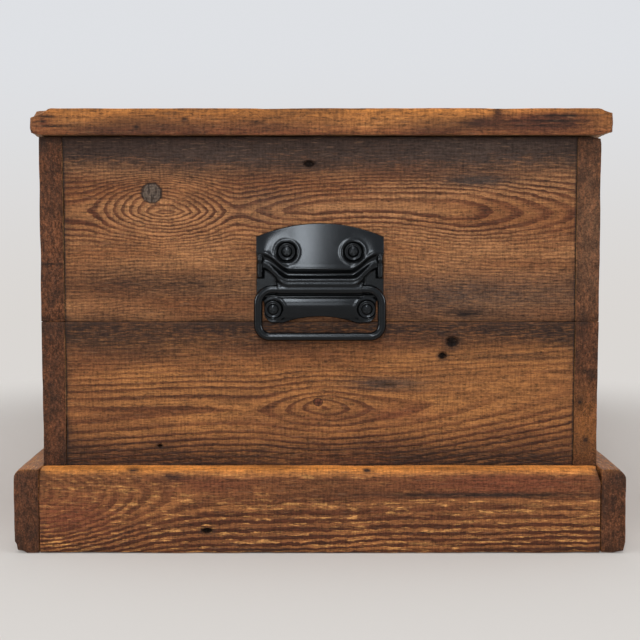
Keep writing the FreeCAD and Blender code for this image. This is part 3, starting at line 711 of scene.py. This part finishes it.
def wear(shape, low, high, amount, seed, joint):
    """Rubs the edges of a board away unevenly, and leaves its faces a little wavy, always inwards. The edges
    at the height of a joint, where two boards meet in one face, stay nearly whole."""
    reach, skin, swell = 9.0 * MM, 0.3 * MM, 0.25 * MM
    chips_per_metre, kept_at_joint = 38, 0.15
    middle = (low + high) / 2
    for vert in shape.verts:
        place = vert.co
        gaps = [min(place[i] - low[i], high[i] - place[i]) for i in range(3)]
        inward = [1.0 if place[i] < middle[i] else -1.0 for i in range(3)]
        x, y, z = [chips_per_metre * length for length in place]
        key = Vector((x + seed, y, z))
        chip = max(0.0, noise.noise(key) + 0.25) + 0.5 * max(0.0, noise.noise(key * 3.1))
        if joint is not None and abs(place.z - joint) < reach:
            chip *= kept_at_joint
        wave = 0.5 + 0.5 * noise.noise(key * 0.4)
        push = Vector((0.0, 0.0, 0.0))
        for i in range(3):
            for j in range(i + 1, 3):
                away = math.hypot(gaps[i], gaps[j])
                if away < reach:
                    bite = amount * chip * (1.0 - away / reach) ** 2
                    push[i] += bite * inward[i]
                    push[j] += bite * inward[j]
            if gaps[i] < skin:
                push[i] += swell * wave * inward[i]
        vert.co = place + push


def bruise(shape, dent):
    """Pushes a chewed or bruised place in, more here and less there."""
    middle = Vector(dent.middle) * MM
    reach = [length * MM for length in dent.reach]
    push = Vector(dent.push) * MM
    for vert in shape.verts:
        away = sum(((vert.co[i] - middle[i]) / reach[i]) ** 2 for i in range(3))
        if away < 1.0:
            grain = noise.noise(vert.co * 240.0) * dent.rough
            vert.co += push * (1.0 - away) * (1.0 + grain)


def sink(shape, board, knot):
    """A knot hole: the face about it cut finer, then pushed in to a pit."""
    low, high, along, across, through, out = axes_of(board.node)
    level = (high if out > 0 else low)[through]
    skin, pit = 1.5 * MM, 3.5 * MM

    def distance(place):
        return math.sqrt(knot_offset(place[along] / MM, place[across] / MM, knot, along, across))

    near = set()
    for face in shape.faces:
        middle = face.calc_center_median()
        if abs(middle[through] - level) < skin and distance(middle) < 2.0:
            near.update(face.edges)
    bmesh.ops.subdivide_edges(shape, edges=list(near), cuts=3, use_grid_fill=True)
    for vert in shape.verts:
        away = distance(vert.co)
        if away < 1.15 and abs(vert.co[through] - level) < skin:
            ragged = 1.0 + 0.4 * noise.noise(vert.co * 700.0)
            vert.co[through] -= out * pit * max(0.0, 1.0 - away ** 3 / 1.5) * ragged


def cut_pockets(shape, node):
    """Lets the hinges into a board: a shallow pocket for each leaf, with a trough for its knuckle."""
    play, half_leaf, knuckle, beyond = 0.35 * MM, 1.8 * MM, 3.81 * MM, 12.0 * MM
    leaf, up = ("lower_leaf", 1.0) if node == "back_upper_board" else ("upper_leaf", -1.0)
    cutter = bmesh.new()
    for side in ("right", "left"):
        low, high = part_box(f"{side}_hinge_{leaf}")
        pin = sum(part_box(f"{side}_hinge_pin"), Vector()) / 2
        start = math.asin(half_leaf / knuckle)
        turns = [math.pi - start - (math.pi - start) * step / 16 for step in range(17)]
        trough = [(pin.y + knuckle * math.cos(t), pin.z - up * knuckle * math.sin(t)) for t in turns]
        inner, outer, opening = low.y - play, pin.y + beyond, pin.z + up * beyond
        outline = [(inner, opening), (inner, pin.z - up * half_leaf), *trough, (outer, pin.z), (outer, opening)]
        verts = [cutter.verts.new((low.x - play, y, z)) for y, z in outline]
        face = cutter.faces.new(verts)
        pull_out(cutter, face, (high.x - low.x + 2.0 * play, 0.0, 0.0))
    return difference(shape, cutter)


def difference(shape, cutter):
    """One bmesh less another."""
    pair = []
    for source, name in ((shape, "board_to_cut"), (cutter, "cutter")):
        bmesh.ops.recalc_face_normals(source, faces=source.faces)
        mesh = bpy.data.meshes.new(name)
        source.to_mesh(mesh)
        source.free()
        pair.append(bpy.data.objects.new(name, mesh))
        bpy.context.scene.collection.objects.link(pair[-1])
    cut = pair[0].modifiers.new("cut", "BOOLEAN")
    cut.operation = "DIFFERENCE"
    cut.solver = "MANIFOLD"
    cut.object = pair[1]
    graph = bpy.context.evaluated_depsgraph_get()
    result = bpy.data.meshes.new_from_object(pair[0].evaluated_get(graph))
    left = bmesh.new()
    left.from_mesh(result)
    bpy.data.meshes.remove(result)
    for holder in pair:
        mesh = holder.data
        bpy.data.objects.remove(holder)
        bpy.data.meshes.remove(mesh)
    return left


def as_object(shape, name, material):
    """A smooth shaded object from a bmesh."""
    mesh = bpy.data.meshes.new(name)
    shape.to_mesh(mesh)
    shape.free()
    mesh.shade_smooth()
    mesh.materials.append(material)
    piece = bpy.data.objects.new(name, mesh)
    bpy.context.scene.collection.objects.link(piece)
    return piece


def finished(shape, name, material):
    """A smooth shaded object from a bmesh, with its normals turned out and its sharp edges kept."""
    bmesh.ops.recalc_face_normals(shape, faces=shape.faces)
    piece = as_object(shape, name, material)
    piece.data.set_sharp_from_angle(angle=math.radians(50))
    return piece


def rounds_of(board, wood):
    """Which edges of a board are rounded, by how much and in how many steps."""
    lid_top, lid_under, plinth = wood.lid_round, wood.lid_under_round, wood.plinth_round

    def clamp(out, corner, segments):
        """The rounds of a lid clamp: both corners, the upper edge and the lower edge."""
        corners = [((out, side), lid_top * corner, segments) for side in ("-y", "+y")]
        return [*corners, ((out, "+z"), lid_top * 0.6, 4), ((out, "-z"), lid_under * 0.7, 3)]

    rounds = {
        "right_plinth": [(("+x", "+z"), plinth, 5)],
        "left_plinth": [(("-x", "+z"), plinth, 5)],
        "front_plinth": [(("-y", "+z"), plinth, 5)],
        "back_plinth": [(("+y", "+z"), plinth * 1.4, 5)],
        "lid_front_board": [(("-y", "+z"), lid_top, 5), (("-y", "-z"), lid_under, 4)],
        "lid_back_board": [(("+y", "+z"), lid_top, 5), (("+y", "-z"), lid_under, 4)],
        "lid_right_clamp": clamp("+x", 0.7, 4),
        "lid_left_clamp": clamp("-x", 1.4, 5),
    }
    return rounds.get(board.node, [])


def joint_of(node):
    """The height of the joint that a carcass board shares with the one above or below it, else None."""
    low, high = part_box(node)
    if "_upper_" in node:
        return low.z
    return high.z if "_lower_" in node else None


def build_board(board, wood):
    """One worn board in place of its plain solid."""
    low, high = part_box(board.node)
    joint = joint_of(board.node)
    arris = wood.arris if joint is None else wood.joint_arris
    shape = plain_board(low, high, rounds_of(board, wood), arris)
    divide(shape, board.step * MM)
    bmesh.ops.remove_doubles(shape, verts=shape.verts, dist=1e-5)
    wear(shape, low, high, wood.wear, board.seed, joint)
    for dent in BRUISES.get(board.node, ()):
        bruise(shape, dent)
    for knot in KNOTS.get(board.node, ()):
        if knot.colour == "hole":
            sink(shape, board, knot)
    many_sided = [face for face in shape.faces if len(face.verts) > 4]
    bmesh.ops.triangulate(shape, faces=many_sided)
    if board.node in HINGED:
        shape = cut_pockets(shape, board.node)
    piece = finished(shape, f"worn_{board.node}", pine_finish(board, wood))
    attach(piece, board.body)
    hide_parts(board.node)


def step_up(value, start, end):
    """0 before start, 1 after end, and a smooth step between, on plain numbers."""
    share = min(1.0, max(0.0, (value - start) / (end - start)))
    return share * share * (3.0 - 2.0 * share)


def soft_lowest(first, second, blend):
    """The lower of two numbers, with a round where they cross."""
    near = max(0.0, blend - abs(first - second)) / blend
    return min(first, second) - near * near * blend / 4.0


def plate_half_width(up):
    """Half the width of the handle's base sheet at a height above the pivot, in mm."""
    if up > -4.0:
        return HALF_WIDTH
    if up > -9.5:
        return FOOT_HALF_WIDTH + (HALF_WIDTH - FOOT_HALF_WIDTH) * (up + 9.5) / 5.5
    if up > -17.5:
        return FOOT_HALF_WIDTH
    return 34.0 + math.sqrt(max(0.0, 8.5 ** 2 - (up + 17.5) ** 2))


def lip_height(across):
    """Height of the lip, which runs level in the middle and climbs to the shoulders."""
    return 15.0 + 12.0 * step_up(abs(across), 22.0, 43.0)


def ridge_height(across):
    """Height of the ridge over the barrel, which runs below the lip and climbs beside it."""
    return 7.8 + 12.4 * step_up(abs(across), 24.0, 44.0)


def rolled_depth(across, up):
    """The pressed form with every fold rolled, because the sheet can't be bent sharper."""
    steps = ((-1.2, 0.12), (-0.6, 0.22), (0.0, 0.32), (0.6, 0.22), (1.2, 0.12))
    return sum(share * pressed_depth(across, up + step) for step, share in steps)


def pressed_depth(across, up):
    """How far the pressed part stands out from the wood: head, lip, groove, ridge, barrel and foot."""
    aside = (across / HALF_WIDTH) ** 2
    lip, ridge = lip_height(across), ridge_height(across)
    flare = 1.3 * (1.0 - 0.3 * aside)
    lip_depth = HEAD_DEPTH + 8.4 * (1.0 - 0.42 * aside)
    ridge_depth = 10.8 - 4.6 * step_up(abs(across), 28.0, 44.0)
    if up >= lip:
        crown = PLATE_TOP - CROWN_DROP * aside
        share = min(1.0, (up - lip) / max(4.0, crown - lip))
        turned_out = flare * max(0.0, 1.0 - (up - lip) / 3.6) ** 2
        return HEAD_DEPTH + (lip_depth - HEAD_DEPTH) * (1.0 - share ** 1.25) + turned_out
    if up >= ridge:
        share = (lip - up) / (lip - ridge)
        sag = 4.8 - 2.4 * step_up(abs(across), 26.0, 44.0)
        edge = lip_depth + flare
        return edge + (ridge_depth - edge) * share - sag * math.sin(math.pi * share) ** 0.8
    roll = PIVOT_DEPTH + math.sqrt(max(0.0, BARREL_RADIUS ** 2 - up * up))
    if up > 0.0:
        below = (ridge - up) / 4.4
        ledge = ridge_depth - 0.85 * (1.0 - (2.0 * min(1.0, below) - 1.0) ** 2)
        return max(roll, ledge - 3.2 * step_up(below, 0.92, 1.5))
    if up > -4.0:
        return roll
    crease, barrel_side = 2.6, 6.9
    foot = max(2.0, 6.0 - 2.0 * ((-up - 12.5) / 8.0) ** 2)
    pillow = 1.0 - 0.4 * (across / FOOT_HALF_WIDTH) ** 4
    brow = math.sqrt(1.0 - (1.0 - min(1.0, max(0.0, (-up - 4.7) / 3.6))) ** 2)
    valley = crease + (foot * pillow - crease) * brow
    return valley + (barrel_side - crease) * (1.0 - step_up(-up, 3.95, 4.9))


def plate_depth(across, up):
    """Depth of the handle plate's surface out from the end board, in mm."""
    ridge = ridge_height(across)
    barrel = (1.0 - step_up(abs(across), 32.0, 34.4)) * step_up(up, -5.6, -4.6)
    share = max(barrel, step_up(up, ridge - 5.4, ridge - 3.2), step_up(-up, 4.2, 4.9))
    depth = FLAT_DEPTH + (rolled_depth(across, up) - FLAT_DEPTH) * share
    bulge = math.sqrt(max(0.0, 1.0 - ((abs(across) - 45.3) / 3.1) ** 2))
    ear = bulge * step_up(up, 8.2, 9.2) * (1.0 - step_up(up, 25.0, 30.0))
    fold = 7.6 + 1.4 * step_up(up, 19.0, 22.0) - 1.0 * step_up(up, 22.5, 25.5)
    depth = max(depth, FLAT_DEPTH + (fold - FLAT_DEPTH) * ear)
    for spread, height in SCREW_PLACES:
        away = math.hypot(abs(across) - spread, up - height)
        cup = FLAT_DEPTH + max(0.0, away - 6.9) / 1.7 * 9.0
        ring = 0.3 * math.exp(-(((away - 9.4) / 1.1) ** 2))
        depth = soft_lowest(depth + ring, cup, 2.2)
    return depth


def plate_mesh(side):
    """The pressed plate of one handle, bent out of one sheet: a grid that follows the plate's outline."""
    columns, rows = 150, 176
    shape = bmesh.new()
    bmesh.ops.create_grid(shape, x_segments=columns, y_segments=rows, size=1.0)
    for vert in shape.verts:
        s, t = vert.co.x, vert.co.y
        s = math.copysign(1.0 - (1.0 - abs(s)) ** 1.12, s)
        level = PLATE_LOW + (PLATE_TOP - PLATE_LOW) * (t + 1.0) / 2.0
        across = s * plate_half_width(level)
        hollow = 4.8 * max(0.0, 1.0 - (across / 28.0) ** 2)
        up = level + hollow * (1.0 - step_up(level, PLATE_LOW, -12.0))
        up -= CROWN_DROP * (across / HALF_WIDTH) ** 2 * step_up(level, 26.0, PLATE_TOP)
        at_rim = abs(s) > 0.9999 or abs(t) > 0.9999
        depth = 0.3 if at_rim else plate_depth(across, up)
        vert.co = (side * (END_FACE + depth) * MM, across * MM, (PIVOT_HEIGHT + up) * MM)
    mouths = [face for face in shape.faces if in_barrel_mouth(face, side)]
    bmesh.ops.delete(shape, geom=mouths, context="FACES")
    bmesh.ops.recalc_face_normals(shape, faces=shape.faces)
    middle = max(shape.faces, key=lambda face: abs(face.calc_center_median().x))
    if middle.normal.x * side < 0:
        bmesh.ops.reverse_faces(shape, faces=shape.faces)
    return shape


def in_barrel_mouth(face, side):
    """Whether a face lies where the bail's top bar leaves the barrel."""
    middle = face.calc_center_median() / MM
    across, up, depth = abs(middle.y), middle.z - PIVOT_HEIGHT, side * middle.x - END_FACE
    return 31.0 < across < 38.0 and math.hypot(up, depth - PIVOT_DEPTH) < 3.7 and depth > 2.0


def build_plates(material):
    """Both handle plates in place of their plain solids."""
    for side, name in ((1, "right"), (-1, "left")):
        piece = as_object(plate_mesh(side), f"pressed_{name}_handle_plate", material)
        wall = piece.modifiers.new("sheet", "SOLIDIFY")
        wall.thickness = SHEET * MM
        wall.offset = -1.0
        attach(piece, "chest")
        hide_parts(f"{name}_handle_plate")


def turned(outline, steps, merge):
    """A bmesh from an outline of radii and heights, spun once round the Z axis."""
    shape = bmesh.new()
    verts = [shape.verts.new((radius, 0.0, height)) for radius, height in outline]
    edges = [shape.edges.new(pair) for pair in zip(verts, verts[1:])]
    bmesh.ops.spin(
        shape, geom=verts + edges, cent=(0, 0, 0), axis=(0, 0, 1), angle=math.tau, steps=steps, use_merge=True,
    )
    bmesh.ops.remove_doubles(shape, verts=shape.verts, dist=merge)
    return shape


def screw_shape():
    """One handle screw along +Z, seated at the origin: a rolled flange, a domed head and a crossed recess."""
    outline = (
        (0.0, -16.0), (2.0, -12.0), (2.0, 0.0), (6.4, 0.0), (6.75, 0.35), (6.65, 0.85), (6.2, 1.15), (5.7, 1.1),
        (5.2, 0.8), (4.7, 0.6), (4.35, 0.75), (4.2, 1.25), (3.85, 1.8), (3.2, 2.3), (2.3, 2.62), (1.2, 2.78),
        (0.0, SCREW_HEAD),
    )
    shape = turned([(radius * MM, height * MM) for radius, height in outline], 40, 1e-7)
    arm, half, floor, top = 2.5, 0.6, 1.5, 4.0
    corner = [(arm, -half), (arm, half), (half, half)]
    cross = list(corner)
    for _ in range(3):
        corner = [(-y, x) for x, y in corner]
        cross.extend(corner)
    cutter = bmesh.new()
    face = cutter.faces.new([cutter.verts.new((x * MM, y * MM, floor * MM)) for x, y in cross])
    pull_out(cutter, face, (0.0, 0.0, (top - floor) * MM))
    return difference(shape, cutter)


def pull_out(shape, face, way):
    """Extrudes a face to a closed prism."""
    pulled = bmesh.ops.extrude_face_region(shape, geom=[face])["geom"]
    moved = [part for part in pulled if isinstance(part, bmesh.types.BMVert)]
    bmesh.ops.translate(shape, vec=way, verts=moved)


def build_screws(material):
    """The screws of both handles in place of their plain solids."""
    screw = screw_shape()
    pattern = bpy.data.meshes.new("handle_screw")
    screw.to_mesh(pattern)
    screw.free()
    places = [(half * spread, height) for spread, height in SCREW_PLACES for half in (1, -1)]
    for side, name in ((1, "right"), (-1, "left")):
        low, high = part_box(f"{name}_handle_screws")
        seat = side * (max(side * low.x, side * high.x) - SCREW_HEAD * MM)
        shape = bmesh.new()
        for (spread, height), turn in zip(places, SCREW_TURNS):
            known = len(shape.verts)
            shape.from_mesh(pattern)
            shape.verts.ensure_lookup_table()
            place = Matrix.Translation((seat, spread * MM, (PIVOT_HEIGHT + height) * MM))
            upright = Matrix.Rotation(side * math.radians(90), 4, "Y")
            spun = Matrix.Rotation(math.radians(turn), 4, "Z")
            bmesh.ops.transform(shape, matrix=place @ upright @ spun, verts=shape.verts[known:])
        piece = finished(shape, f"turned_{name}_handle_screws", material)
        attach(piece, "chest")
        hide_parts(f"{name}_handle_screws")
    bpy.data.meshes.remove(pattern)


def dress(nodes, material):
    """Gives CAD nodes that keep their shape a finish."""
    for name in nodes:
        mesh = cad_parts[name].data
        mesh.materials.clear()
        mesh.materials.append(material)


def bare_pine(wood, node, seed):
    """Plain unwaxed pine inside the chest, with its grain along a board."""
    finish = Finish(f"bare_pine_{node}")
    along = axes_of(node)[2]
    place = [axis + seed for axis in finish.split(finish.add("ShaderNodeTexCoord", output="Object"))]
    streak = finish.cloud(*[axis / (0.05 if i == along else 0.004) for i, axis in enumerate(place)], 3.0)
    tone = finish.cloud(*[axis / (0.2 if i == along else 0.03) for i, axis in enumerate(place)], 2.0)
    colour = finish.mix(wood.bare, wood.early, tone.rise(0.3, 0.7) * 0.6 + streak.rise(0.4, 0.7) * 0.3)
    normal = finish.bump(streak, 0.3, 0.0004)
    return finish.close(Base_Color=colour, Roughness=0.62 + streak * 0.15, Normal=normal)


def steel(name, colour, roughness, metallic, mottle, specular, sheen=(1.0, 1.0, 1.0)):
    """Metal with a faint mottle in its tone and polish."""
    finish = Finish(name)
    x, y, z = finish.split(finish.add("ShaderNodeTexCoord", output="Object"))
    patch = finish.cloud(x / 0.012, y / 0.012, z / 0.012, 3.0)
    grain = finish.cloud(x / 0.0007, y / 0.0007, z / 0.0007, 2.0)
    dark = tuple(0.55 * part for part in colour)
    shade = finish.mix(dark, colour, patch.rise(0.3, 0.7))
    rough = roughness + (patch - 0.5) * mottle + (grain - 0.5) * 0.08
    normal = finish.bump(grain, 0.06, 0.0002)
    # Specular_Tint takes sheen: a painted blue-white tint on the reflections, which stands in for the colour of the
    # light.
    return finish.close(
        Base_Color=shade, Roughness=rough, Metallic=metallic, Normal=normal, Specular_IOR_Level=specular,
        Specular_Tint=(*sheen, 1.0),
    )


def colour_property(name, description, default):
    """A colour that can be set."""
    return bpy.props.FloatVectorProperty(
        name=name, description=description, subtype="COLOR", default=default, min=0.0, max=1.0,
    )


def length_property(name, description, default):
    """A length that can be set."""
    return bpy.props.FloatProperty(name=name, description=description, unit="LENGTH", default=default)


class ChestWood(bpy.types.PropertyGroup):
    """Sizes and colours of the pine."""

    early: colour_property("Early wood", "Golden wood between the rings", (0.34, 0.142, 0.046))
    brown: colour_property("Brown wood", "Early wood where the wax lies thicker", (0.2, 0.078, 0.029))
    late: colour_property("Late wood", "Dark line of each ring", (0.075, 0.024, 0.011))
    wax: colour_property("Dark wax", "Old wax and dirt in corners and hollows", (0.032, 0.017, 0.012))
    grey: colour_property("Grey stain", "Weathered grey streaks", (0.058, 0.038, 0.03))
    red: colour_property("Red stain", "Reddish heartwood", (0.17, 0.052, 0.024))
    # Also paints a highlight on the upper edges of the lid and plinth, where light from above falls.
    wear_and_highlight: colour_property("Worn edge", "Edge rubbed to bright wood", (0.8, 0.3, 0.065))
    fleck: colour_property("Fleck", "Pale flecks where the wax is rubbed through", (0.58, 0.28, 0.09))
    end_grain: colour_property("End grain", "Dark sawn ends of the boards", (0.168, 0.062, 0.027))
    knot: colour_property("Knot", "Middle of a sound knot", (0.12, 0.09, 0.07))
    # This colour also paints the shadow line under the lid on the right end board.
    hole: colour_property("Hole", "Knot holes and the rims of knots", (0.014, 0.008, 0.006))
    scuff: colour_property("Scuff", "Dry pale scratches in the wax", (0.36, 0.2, 0.11))
    bare: colour_property("Bare pine", "Unwaxed pine inside", (0.47, 0.28, 0.13))
    arris: length_property("Arris", "How much is taken off a plain edge", 0.0007)
    joint_arris: length_property(
        "Joint arris", "How much is taken off the edges of boards that meet in one face", 0.0004,
    )
    wear: length_property("Wear", "How deep the edges are rubbed away", 0.00045)
    lid_round: length_property("Lid top round", "Round of the lid's upper edge", 0.005)
    lid_under_round: length_property("Lid under round", "Round of the lid's lower edge", 0.003)
    plinth_round: length_property("Plinth round", "Round of the plinth's upper edge", 0.006)


class ChestMetal(bpy.types.PropertyGroup):
    """Colours of the fittings."""

    black: colour_property("Black steel", "Satin black coat of the handles", (0.0028, 0.003, 0.0034))
    hinge: colour_property("Hinge steel", "Dull bare steel of the hinges", (0.42, 0.4, 0.37))
    iron: colour_property("Nail iron", "Rusty dark nails", (0.06, 0.042, 0.034))


class ChestStage(bpy.types.PropertyGroup):
    """Floor, light and camera."""

    floor: colour_property("Floor", "Pale floor and backdrop", (0.7, 0.67, 0.64))
    wall: colour_property("Backdrop", "Pale backdrop above the floor", (0.735, 0.75, 0.78))
    sky: bpy.props.FloatProperty(
        name="Room light", description="Strength of the light from all round", default=0.45, min=0.0,
    )
    key: bpy.props.FloatProperty(
        name="Lamps", description="Power that each lamp takes its share of", unit="POWER", default=27.5, min=0.0,
    )
    lens: bpy.props.FloatProperty(
        name="Lens", description="Focal length of the camera in millimetres", default=74.25,
    )


def build_boards(group, context):
    """All worn boards of a group."""
    for board in BOARDS[group]:
        build_board(board, context.scene.chest_wood)


class CHEST_OT_carcass(bpy.types.Operator):
    """Worn boards of the carcass"""

    bl_idname = "chest.carcass"
    bl_label = "Carcass boards"

    def execute(self, context):
        build_boards("carcass", context)
        return {"FINISHED"}


class CHEST_OT_plinth(bpy.types.Operator):
    """Worn boards of the plinth"""

    bl_idname = "chest.plinth"
    bl_label = "Plinth boards"

    def execute(self, context):
        build_boards("plinth", context)
        return {"FINISHED"}


class CHEST_OT_lid(bpy.types.Operator):
    """Worn boards and end clamps of the lid"""

    bl_idname = "chest.lid"
    bl_label = "Lid"

    def execute(self, context):
        build_boards("lid", context)
        return {"FINISHED"}


class CHEST_OT_inside(bpy.types.Operator):
    """Bare floor boards and cleats"""

    bl_idname = "chest.inside"
    bl_label = "Inside"

    def execute(self, context):
        nodes = [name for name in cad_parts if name.startswith("floor_board") or name.endswith("_cleat")]
        for count, name in enumerate(sorted(nodes)):
            dress([name], bare_pine(context.scene.chest_wood, name, 1.7 * count))
        return {"FINISHED"}


class CHEST_OT_handles(bpy.types.Operator):
    """Black steel drop handles with their screws"""

    bl_idname = "chest.handles"
    bl_label = "Handles"

    def execute(self, context):
        # The sheen is a painted blue-white tint on the steel's reflections.
        black = steel(
            "black_steel", context.scene.chest_metal.black, roughness=0.19, metallic=0.0, mottle=0.05,
            specular=0.28, sheen=(0.84, 0.92, 1.0),
        )
        build_plates(black)
        build_screws(black)
        dress([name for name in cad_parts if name.endswith("_handle_bail")], black)
        return {"FINISHED"}


class CHEST_OT_hinges(bpy.types.Operator):
    """Dull steel hinges, with their pins and screws"""

    bl_idname = "chest.hinges"
    bl_label = "Hinges"

    def execute(self, context):
        colour = context.scene.chest_metal.hinge
        nodes = [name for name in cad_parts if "hinge" in name]
        dress(nodes, steel("hinge_steel", colour, roughness=0.42, metallic=1.0, mottle=0.2, specular=0.5))
        return {"FINISHED"}


class CHEST_OT_nails(bpy.types.Operator):
    """Rusty nails and the cleats' screws"""

    bl_idname = "chest.nails"
    bl_label = "Nails"

    def execute(self, context):
        colour = context.scene.chest_metal.iron
        nodes = [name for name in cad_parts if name.endswith("_nails") or name == "cleat_screws"]
        dress(nodes, steel("nail_iron", colour, roughness=0.6, metallic=0.6, mottle=0.2, specular=0.3))
        return {"FINISHED"}


# The lamps: name, place, what they point at, width, height (metres), and share of the power.
CHEST_END = (0.43, 0.0, 0.2)
CHEST_MIDDLE = (0.0, 0.0, 0.2)
LAMPS = (
    ("soft_above", (0.6, -0.1, 2.5), (0.1, 0.0, 0.1), 1.7, 1.7, 0.32),
    ("soft_front", (2.5, -0.2, 1.5), CHEST_END, 0.26, 1.3, 0.78),
    ("soft_low", (2.4, -0.15, 0.4), CHEST_END, 0.4, 0.4, 0.1),
    ("strip_above", (1.03, 0.0, 1.68), CHEST_END, 1.1, 0.14, 0.22),
    ("strip_left", (0.84, -2.0, 0.7), CHEST_END, 0.24, 1.1, 0.45),
    ("strip_right", (0.84, 2.0, 0.7), CHEST_END, 0.24, 1.1, 0.38),
    ("fill_front", (-0.2, -3.2, 0.9), CHEST_MIDDLE, 2.6, 1.2, 0.6),
    ("fill_back", (-0.2, 3.2, 0.9), CHEST_MIDDLE, 2.6, 1.2, 0.65),
    ("fill_left", (-3.2, 0.0, 0.9), CHEST_MIDDLE, 1.6, 1.2, 0.85),
)


def backdrop(stage):
    """A pale floor that keeps its shadow near the chest, and farther out is as pale as it is written."""
    finish = Finish("pale_floor")
    x, y, z = finish.split(finish.add("ShaderNodeTexCoord", output="Object"))
    cloud = finish.cloud(x / 0.5, y / 0.5, z / 0.5, 2.0)
    colour = finish.mix(*[tuple(share * part for part in stage.floor) for share in (0.83, 0.86)], cloud)
    camera = finish.add("ShaderNodeLightPath", output="Is Camera Ray")
    seen = camera.highest(camera.also("Is Glossy Ray")).highest(camera.also("Is Transmission Ray"))
    far = (x * x + y * y).root().rise(0.38, 0.78)
    pale = finish.mix(stage.floor, stage.wall, z.rise(-0.2, 0.9))
    floor = finish.add("ShaderNodeBsdfPrincipled", None, {"Base Color": colour, "Roughness": 0.9})
    glow = finish.add("ShaderNodeEmission", None, {"Color": pale, "Strength": 1.0})
    shader = finish.add("ShaderNodeMixShader", None, (far * seen, floor, glow))
    finish.add("ShaderNodeOutputMaterial", None, {"Surface": shader})
    return finish.material


def cove_shape():
    """The floor, which curves up into a wall all round and lies just under the chest."""
    flat, wall, top, gap = 2.0, 3.6, 5.0, 0.0003
    bend = wall - flat
    turns = [math.radians(90) * step / 12 for step in range(13)]
    corner = [(flat + bend * math.sin(turn), bend * (1 - math.cos(turn))) for turn in turns]
    outline = [(0.0, 0.0), (0.6, 0.0), (1.2, 0.0), *corner, (wall, top)]
    return turned([(radius, height - gap) for radius, height in outline], 64, 1e-5)


def light_room(scene, strength):
    """Even light from all round."""
    world = bpy.data.worlds.new("room")
    scene.world = world
    world.use_nodes = True
    sky = world.node_tree.nodes["Background"]
    sky.inputs["Color"].default_value = (0.95, 0.975, 1.0, 1.0)
    sky.inputs["Strength"].default_value = strength


def hang_lamps(scene, power):
    """The soft lamps, which the camera doesn't see."""
    for name, spot, aim, width, height, share in LAMPS:
        lamp = bpy.data.lights.new(name, "AREA")
        lamp.shape = "RECTANGLE"
        lamp.size = width
        lamp.size_y = height
        lamp.energy = power * share
        holder = bpy.data.objects.new(name, lamp)
        holder.location = spot
        holder.rotation_euler = (Vector(aim) - Vector(spot)).to_track_quat("-Z", "Y").to_euler()
        holder.visible_camera = False
        scene.collection.objects.link(holder)


def set_camera(scene, lens):
    """The camera, square on to the chest's right end."""
    camera = bpy.data.cameras.new("camera")
    camera.lens = lens
    camera.sensor_width = 36.0
    holder = bpy.data.objects.new("camera", camera)
    holder.location = (1.43, 0.0, 0.254)
    holder.rotation_euler = (math.radians(85.5), 0.0, math.radians(90.0))
    scene.collection.objects.link(holder)
    scene.camera = holder


class CHEST_OT_stage(bpy.types.Operator):
    """Pale floor that curves up all round, soft light and the camera"""

    bl_idname = "chest.stage"
    bl_label = "Stage"

    def execute(self, context):
        stage = context.scene.chest_stage
        cove = finished(cove_shape(), "pale_floor", backdrop(stage))
        light_room(context.scene, stage.sky)
        hang_lamps(context.scene, stage.key)
        set_camera(context.scene, stage.lens)
        context.scene.view_settings.view_transform = "Standard"
        return {"FINISHED"}


class CHEST_PT_panel(bpy.types.Panel):
    """Lists the steps that dress the chest"""

    bl_idname = "CHEST_PT_panel"
    bl_label = "Pine storage chest"
    bl_space_type = "VIEW_3D"
    bl_region_type = "UI"
    bl_category = "Chest"

    def draw(self, context):
        for operator in OPERATORS:
            self.layout.operator(operator.bl_idname)


GROUPS = {"chest_wood": ChestWood, "chest_metal": ChestMetal, "chest_stage": ChestStage}
OPERATORS = (
    CHEST_OT_stage, CHEST_OT_carcass, CHEST_OT_plinth, CHEST_OT_lid, CHEST_OT_inside,
    CHEST_OT_handles, CHEST_OT_hinges, CHEST_OT_nails,
)


def register():
    for group in GROUPS.values():
        bpy.utils.register_class(group)
    for name, group in GROUPS.items():
        setattr(bpy.types.Scene, name, bpy.props.PointerProperty(type=group))
    for operator in OPERATORS:
        bpy.utils.register_class(operator)
    bpy.utils.register_class(CHEST_PT_panel)


def unregister():
    bpy.utils.unregister_class(CHEST_PT_panel)
    for operator in reversed(OPERATORS):
        bpy.utils.unregister_class(operator)
    for name, group in GROUPS.items():
        delattr(bpy.types.Scene, name)
        bpy.utils.unregister_class(group)


def main():
    register()
    bpy.ops.chest.stage()
    bpy.ops.chest.carcass()
    bpy.ops.chest.plinth()
    bpy.ops.chest.lid()
    bpy.ops.chest.inside()
    bpy.ops.chest.handles()
    bpy.ops.chest.hinges()
    bpy.ops.chest.nails()


if __name__ == "__main__":
    main()
